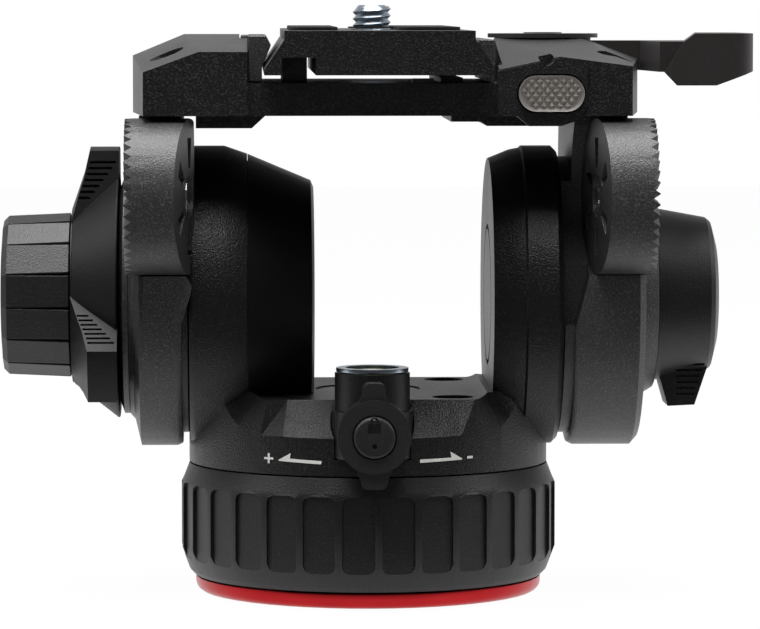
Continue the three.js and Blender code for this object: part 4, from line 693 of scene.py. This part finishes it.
def direction_print():
    """Signs and half arrows that show which way the drag ring turns, a thin film on the band."""
    curve = bpy.data.curves.new("direction_print", "CURVE")
    curve.dimensions = "2D"
    curve.fill_mode = "BOTH"
    curve.extrude = PRINT_REACH
    for outline in (PLUS_SIGN, LEFT_ARROW, RIGHT_ARROW, MINUS_SIGN):
        spline = curve.splines.new("POLY")
        spline.points.add(len(outline) - 1)
        for point, (x, z) in zip(spline.points, outline):
            point.co = (x * MM, z * MM, 0, 1)
        spline.use_cyclic_u = True
    ink = bpy.data.objects.new("direction_print", curve)
    bpy.context.scene.collection.objects.link(ink)
    select_only(ink)
    bpy.ops.object.convert(target="MESH")
    ink = placed(bpy.context.object, (0, PRINT_PLANE, 0), (90, 0, 0))
    edit(ink)
    bpy.ops.mesh.remove_doubles(threshold=MERGE)
    bpy.ops.mesh.normals_make_consistent(inside=False)
    end_edit()
    outer, inner = BAND_RADIUS + INK_HEIGHT, BAND_RADIUS - INK_HEIGHT
    carve(ink, turned([(outer, 32 * MM), (outer, 40 * MM)], BAND_SIDES), "INTERSECT")
    carve(ink, turned([(inner, 31 * MM), (inner, 41 * MM)], BAND_SIDES))
    settle(ink, "direction_print", "pan_body", WHITE_PRINT)


# The screws in the yoke's floor, which sit slightly into it
FLOOR_SCREW_HEAD = [(3.4 * MM, 0), (3.6 * MM, 0.2 * MM), (3.6 * MM, 1.7 * MM), (3.3 * MM, 2 * MM)]
FLOOR_SCREW_SOCKET = [(1.7 * MM, 0.8 * MM), (1.7 * MM, 2.4 * MM)]
FLOOR_SCREW_SIDES = 36
FLOOR_SCREW_EDGE_ANGLE = 32
FLOOR_SCREW_SEAT = 0.05 * MM


def floor_screws():
    """Socket-head screws that hold the pan cartridge, one in each recess of the yoke's floor."""
    for number, (x, y) in enumerate(SCREW_RECESSES, start=1):
        screw = turned(FLOOR_SCREW_HEAD, FLOOR_SCREW_SIDES)
        carve(screw, turned(FLOOR_SCREW_SOCKET, 6))
        smooth(screw, FLOOR_SCREW_EDGE_ANGLE)
        placed(screw, (x, y, SCREW_RECESS_FLOOR - FLOOR_SCREW_SEAT))
        name = f"floor_screw_{number}"
        settle(screw, name, "pan_body", MATERIALS["bare_steel"])


# The selector's cone: its wide rim beside the flange, and its nose, whose radii are paired with
# distances back from the selector's outer face
SKIRT_RIM = [(29.4 * MM, 0), (29.4 * MM, 0.5 * MM), (28.9 * MM, 1 * MM)]
SKIRT_NOSE = [(21.4 * MM, 0.6 * MM), (20.8 * MM, 0.1 * MM)]
SKIRT_BORE = 15 * MM
SKIRT_OVERRUN = 1 * MM
SKIRT_SIDES = 96
SKIRT_BORE_SIDES = 48
SKIRT_EDGE = 0.3 * MM


def selector_skirt():
    """The selector's cone, which widens from the drag knob to the flange between the lobes."""
    low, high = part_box("counterbalance_selector")
    depth = high.x - low.x
    nose = [(radius, depth - back) for radius, back in SKIRT_NOSE]
    cone = turned([*SKIRT_RIM, *nose], SKIRT_SIDES)
    bore = [(SKIRT_BORE, -SKIRT_OVERRUN), (SKIRT_BORE, depth + SKIRT_OVERRUN)]
    carve(cone, turned(bore, SKIRT_BORE_SIDES))
    soften(cone, SKIRT_EDGE, EDGE_ANGLE)
    placed(cone, (high.x, 0, TILT_HEIGHT), (0, -90, 0))
    body = BODY_OF["counterbalance_selector"]
    settle(cone, "selector_skirt", body, SHADED_MOULDING)


# Camera, lights and floor

def photo_camera():
    data = bpy.data.cameras.new("photo_camera")
    data.sensor_fit = "HORIZONTAL"
    data.sensor_width = SENSOR_WIDTH
    data.lens = FOCAL_PIXELS * SENSOR_WIDTH / PHOTO_WIDTH
    data.clip_start = 10 * MM
    camera = bpy.data.objects.new("photo_camera", data)
    bpy.context.scene.collection.objects.link(camera)
    camera.location = (
        CAMERA_DISTANCE * math.sin(CAMERA_AZIMUTH),
        -CAMERA_DISTANCE * math.cos(CAMERA_AZIMUTH),
        CAMERA_HEIGHT,
    )
    pitch = math.atan((PHOTO_HEIGHT / 2 - HORIZON_ROW) / FOCAL_PIXELS)
    turn = math.atan((PHOTO_WIDTH / 2 - PAN_AXIS_COLUMN) / FOCAL_PIXELS)
    camera.rotation_euler = (math.pi / 2 - pitch, 0, CAMERA_AZIMUTH - turn)
    bpy.context.scene.camera = camera


def softbox(name, place, width, height, power):
    """A rectangular lamp at place, turned to the object, in metres and watts."""
    data = bpy.data.lights.new(name, "AREA")
    data.shape = "RECTANGLE"
    data.size = width
    data.size_y = height
    data.energy = power
    lamp = bpy.data.objects.new(name, data)
    bpy.context.scene.collection.objects.link(lamp)
    lamp.location = place
    aim = Vector(SOFTBOX_AIM) - Vector(place)
    lamp.rotation_euler = aim.to_track_quat("-Z", "Y").to_euler()


def seen_directly(tree):
    """A socket that is 1 for what the camera sees, itself or through glass, and the light path."""
    ray = add_node(tree, "ShaderNodeLightPath", {})
    either = add_node(tree, "ShaderNodeMath", {
        0: ray.outputs["Is Camera Ray"], 1: ray.outputs["Is Transmission Ray"],
    }, operation="MAXIMUM")
    return either.outputs[0], ray


def studio():
    """Softboxes above and beside the object, a white sweep behind it and a dim room in front."""
    for box in SOFTBOXES:
        softbox(*box)
    world = bpy.data.worlds.new("white_sweep")
    bpy.context.scene.world = world
    world.use_nodes = True
    tree = world.node_tree
    tree.nodes.clear()
    direct, ray = seen_directly(tree)
    direction = add_node(tree, "ShaderNodeTexCoord", {}).outputs["Generated"]
    parts = add_node(tree, "ShaderNodeSeparateXYZ", {"Vector": direction}).outputs
    sweep = add_node(tree, "ShaderNodeMapRange", {
        "Value": parts["Z"], "From Min": 0.3, "From Max": 0.75,
        "To Min": SWEEP_LEVEL, "To Max": CEILING_LEVEL,
    })
    mirrored = add_node(tree, "ShaderNodeMapRange", {
        "Value": parts["Y"], "From Min": -0.35, "From Max": 0.45,
        "To Min": ROOM_LEVEL, "To Max": sweep.outputs["Result"],
    })
    lighting = add_node(tree, "ShaderNodeMapRange", {
        "Value": ray.outputs["Is Glossy Ray"],
        "To Min": FILL_LEVEL, "To Max": mirrored.outputs["Result"],
    })
    strength = add_node(tree, "ShaderNodeMapRange", {
        "Value": direct, "To Min": lighting.outputs["Result"], "To Max": 1.0,
    })
    white = add_node(tree, "ShaderNodeBackground", {
        "Color": (1, 1, 1, 1), "Strength": strength.outputs["Result"],
    })
    add_node(tree, "ShaderNodeOutputWorld", {"Surface": white.outputs["Background"]})


def white_floor():
    """A pale table with the object's soft shadow on it.

    It shows white to the camera, bright in reflections behind the object and dim in front of it."""
    bpy.ops.object.select_all(action="DESELECT")
    bpy.ops.mesh.primitive_plane_add(size=FLOOR_SIZE, location=(0, 0, -FLOOR_DROP))
    floor = bpy.context.object
    floor.name = "floor"
    material, tree, place = new_surface("white_table")
    direct, ray = seen_directly(tree)
    depth = add_node(tree, "ShaderNodeSeparateXYZ", {"Vector": place}).outputs["Y"]
    behind = add_node(tree, "ShaderNodeMapRange", {
        "Value": depth, "From Min": -0.11, "From Max": -0.045,
        "To Min": ROOM_LEVEL, "To Max": TABLE_LEVEL,
    })
    strength = add_node(tree, "ShaderNodeMapRange", {
        "Value": direct, "To Min": behind.outputs["Result"], "To Max": FLOOR_WHITE,
    })
    either = add_node(tree, "ShaderNodeMath", {
        0: direct, 1: ray.outputs["Is Glossy Ray"],
    }, operation="MAXIMUM")
    share = add_node(tree, "ShaderNodeMath", {
        0: either.outputs[0], 1: FLOOR_GLOW_SHARE,
    }, operation="MULTIPLY")
    paper = add_node(tree, "ShaderNodeBsdfDiffuse", {"Color": linear(PAPER_COLOUR)})
    glow = add_node(tree, "ShaderNodeEmission", {
        "Color": (1, 1, 1, 1), "Strength": strength.outputs["Result"],
    })
    both = add_node(tree, "ShaderNodeMixShader", {
        0: share.outputs[0], 1: paper.outputs[0], 2: glow.outputs[0],
    })
    add_node(tree, "ShaderNodeOutputMaterial", {"Surface": both.outputs[0]})
    give(floor, material)


photo_camera()
studio()
white_floor()
place_finishes()
finish_castings_and_mouldings()
camera_screw()
safety_button()
pan_lock_cap()
direction_print()
floor_screws()
selector_skirt()

bpy.context.scene.view_settings.view_transform = "Standard"
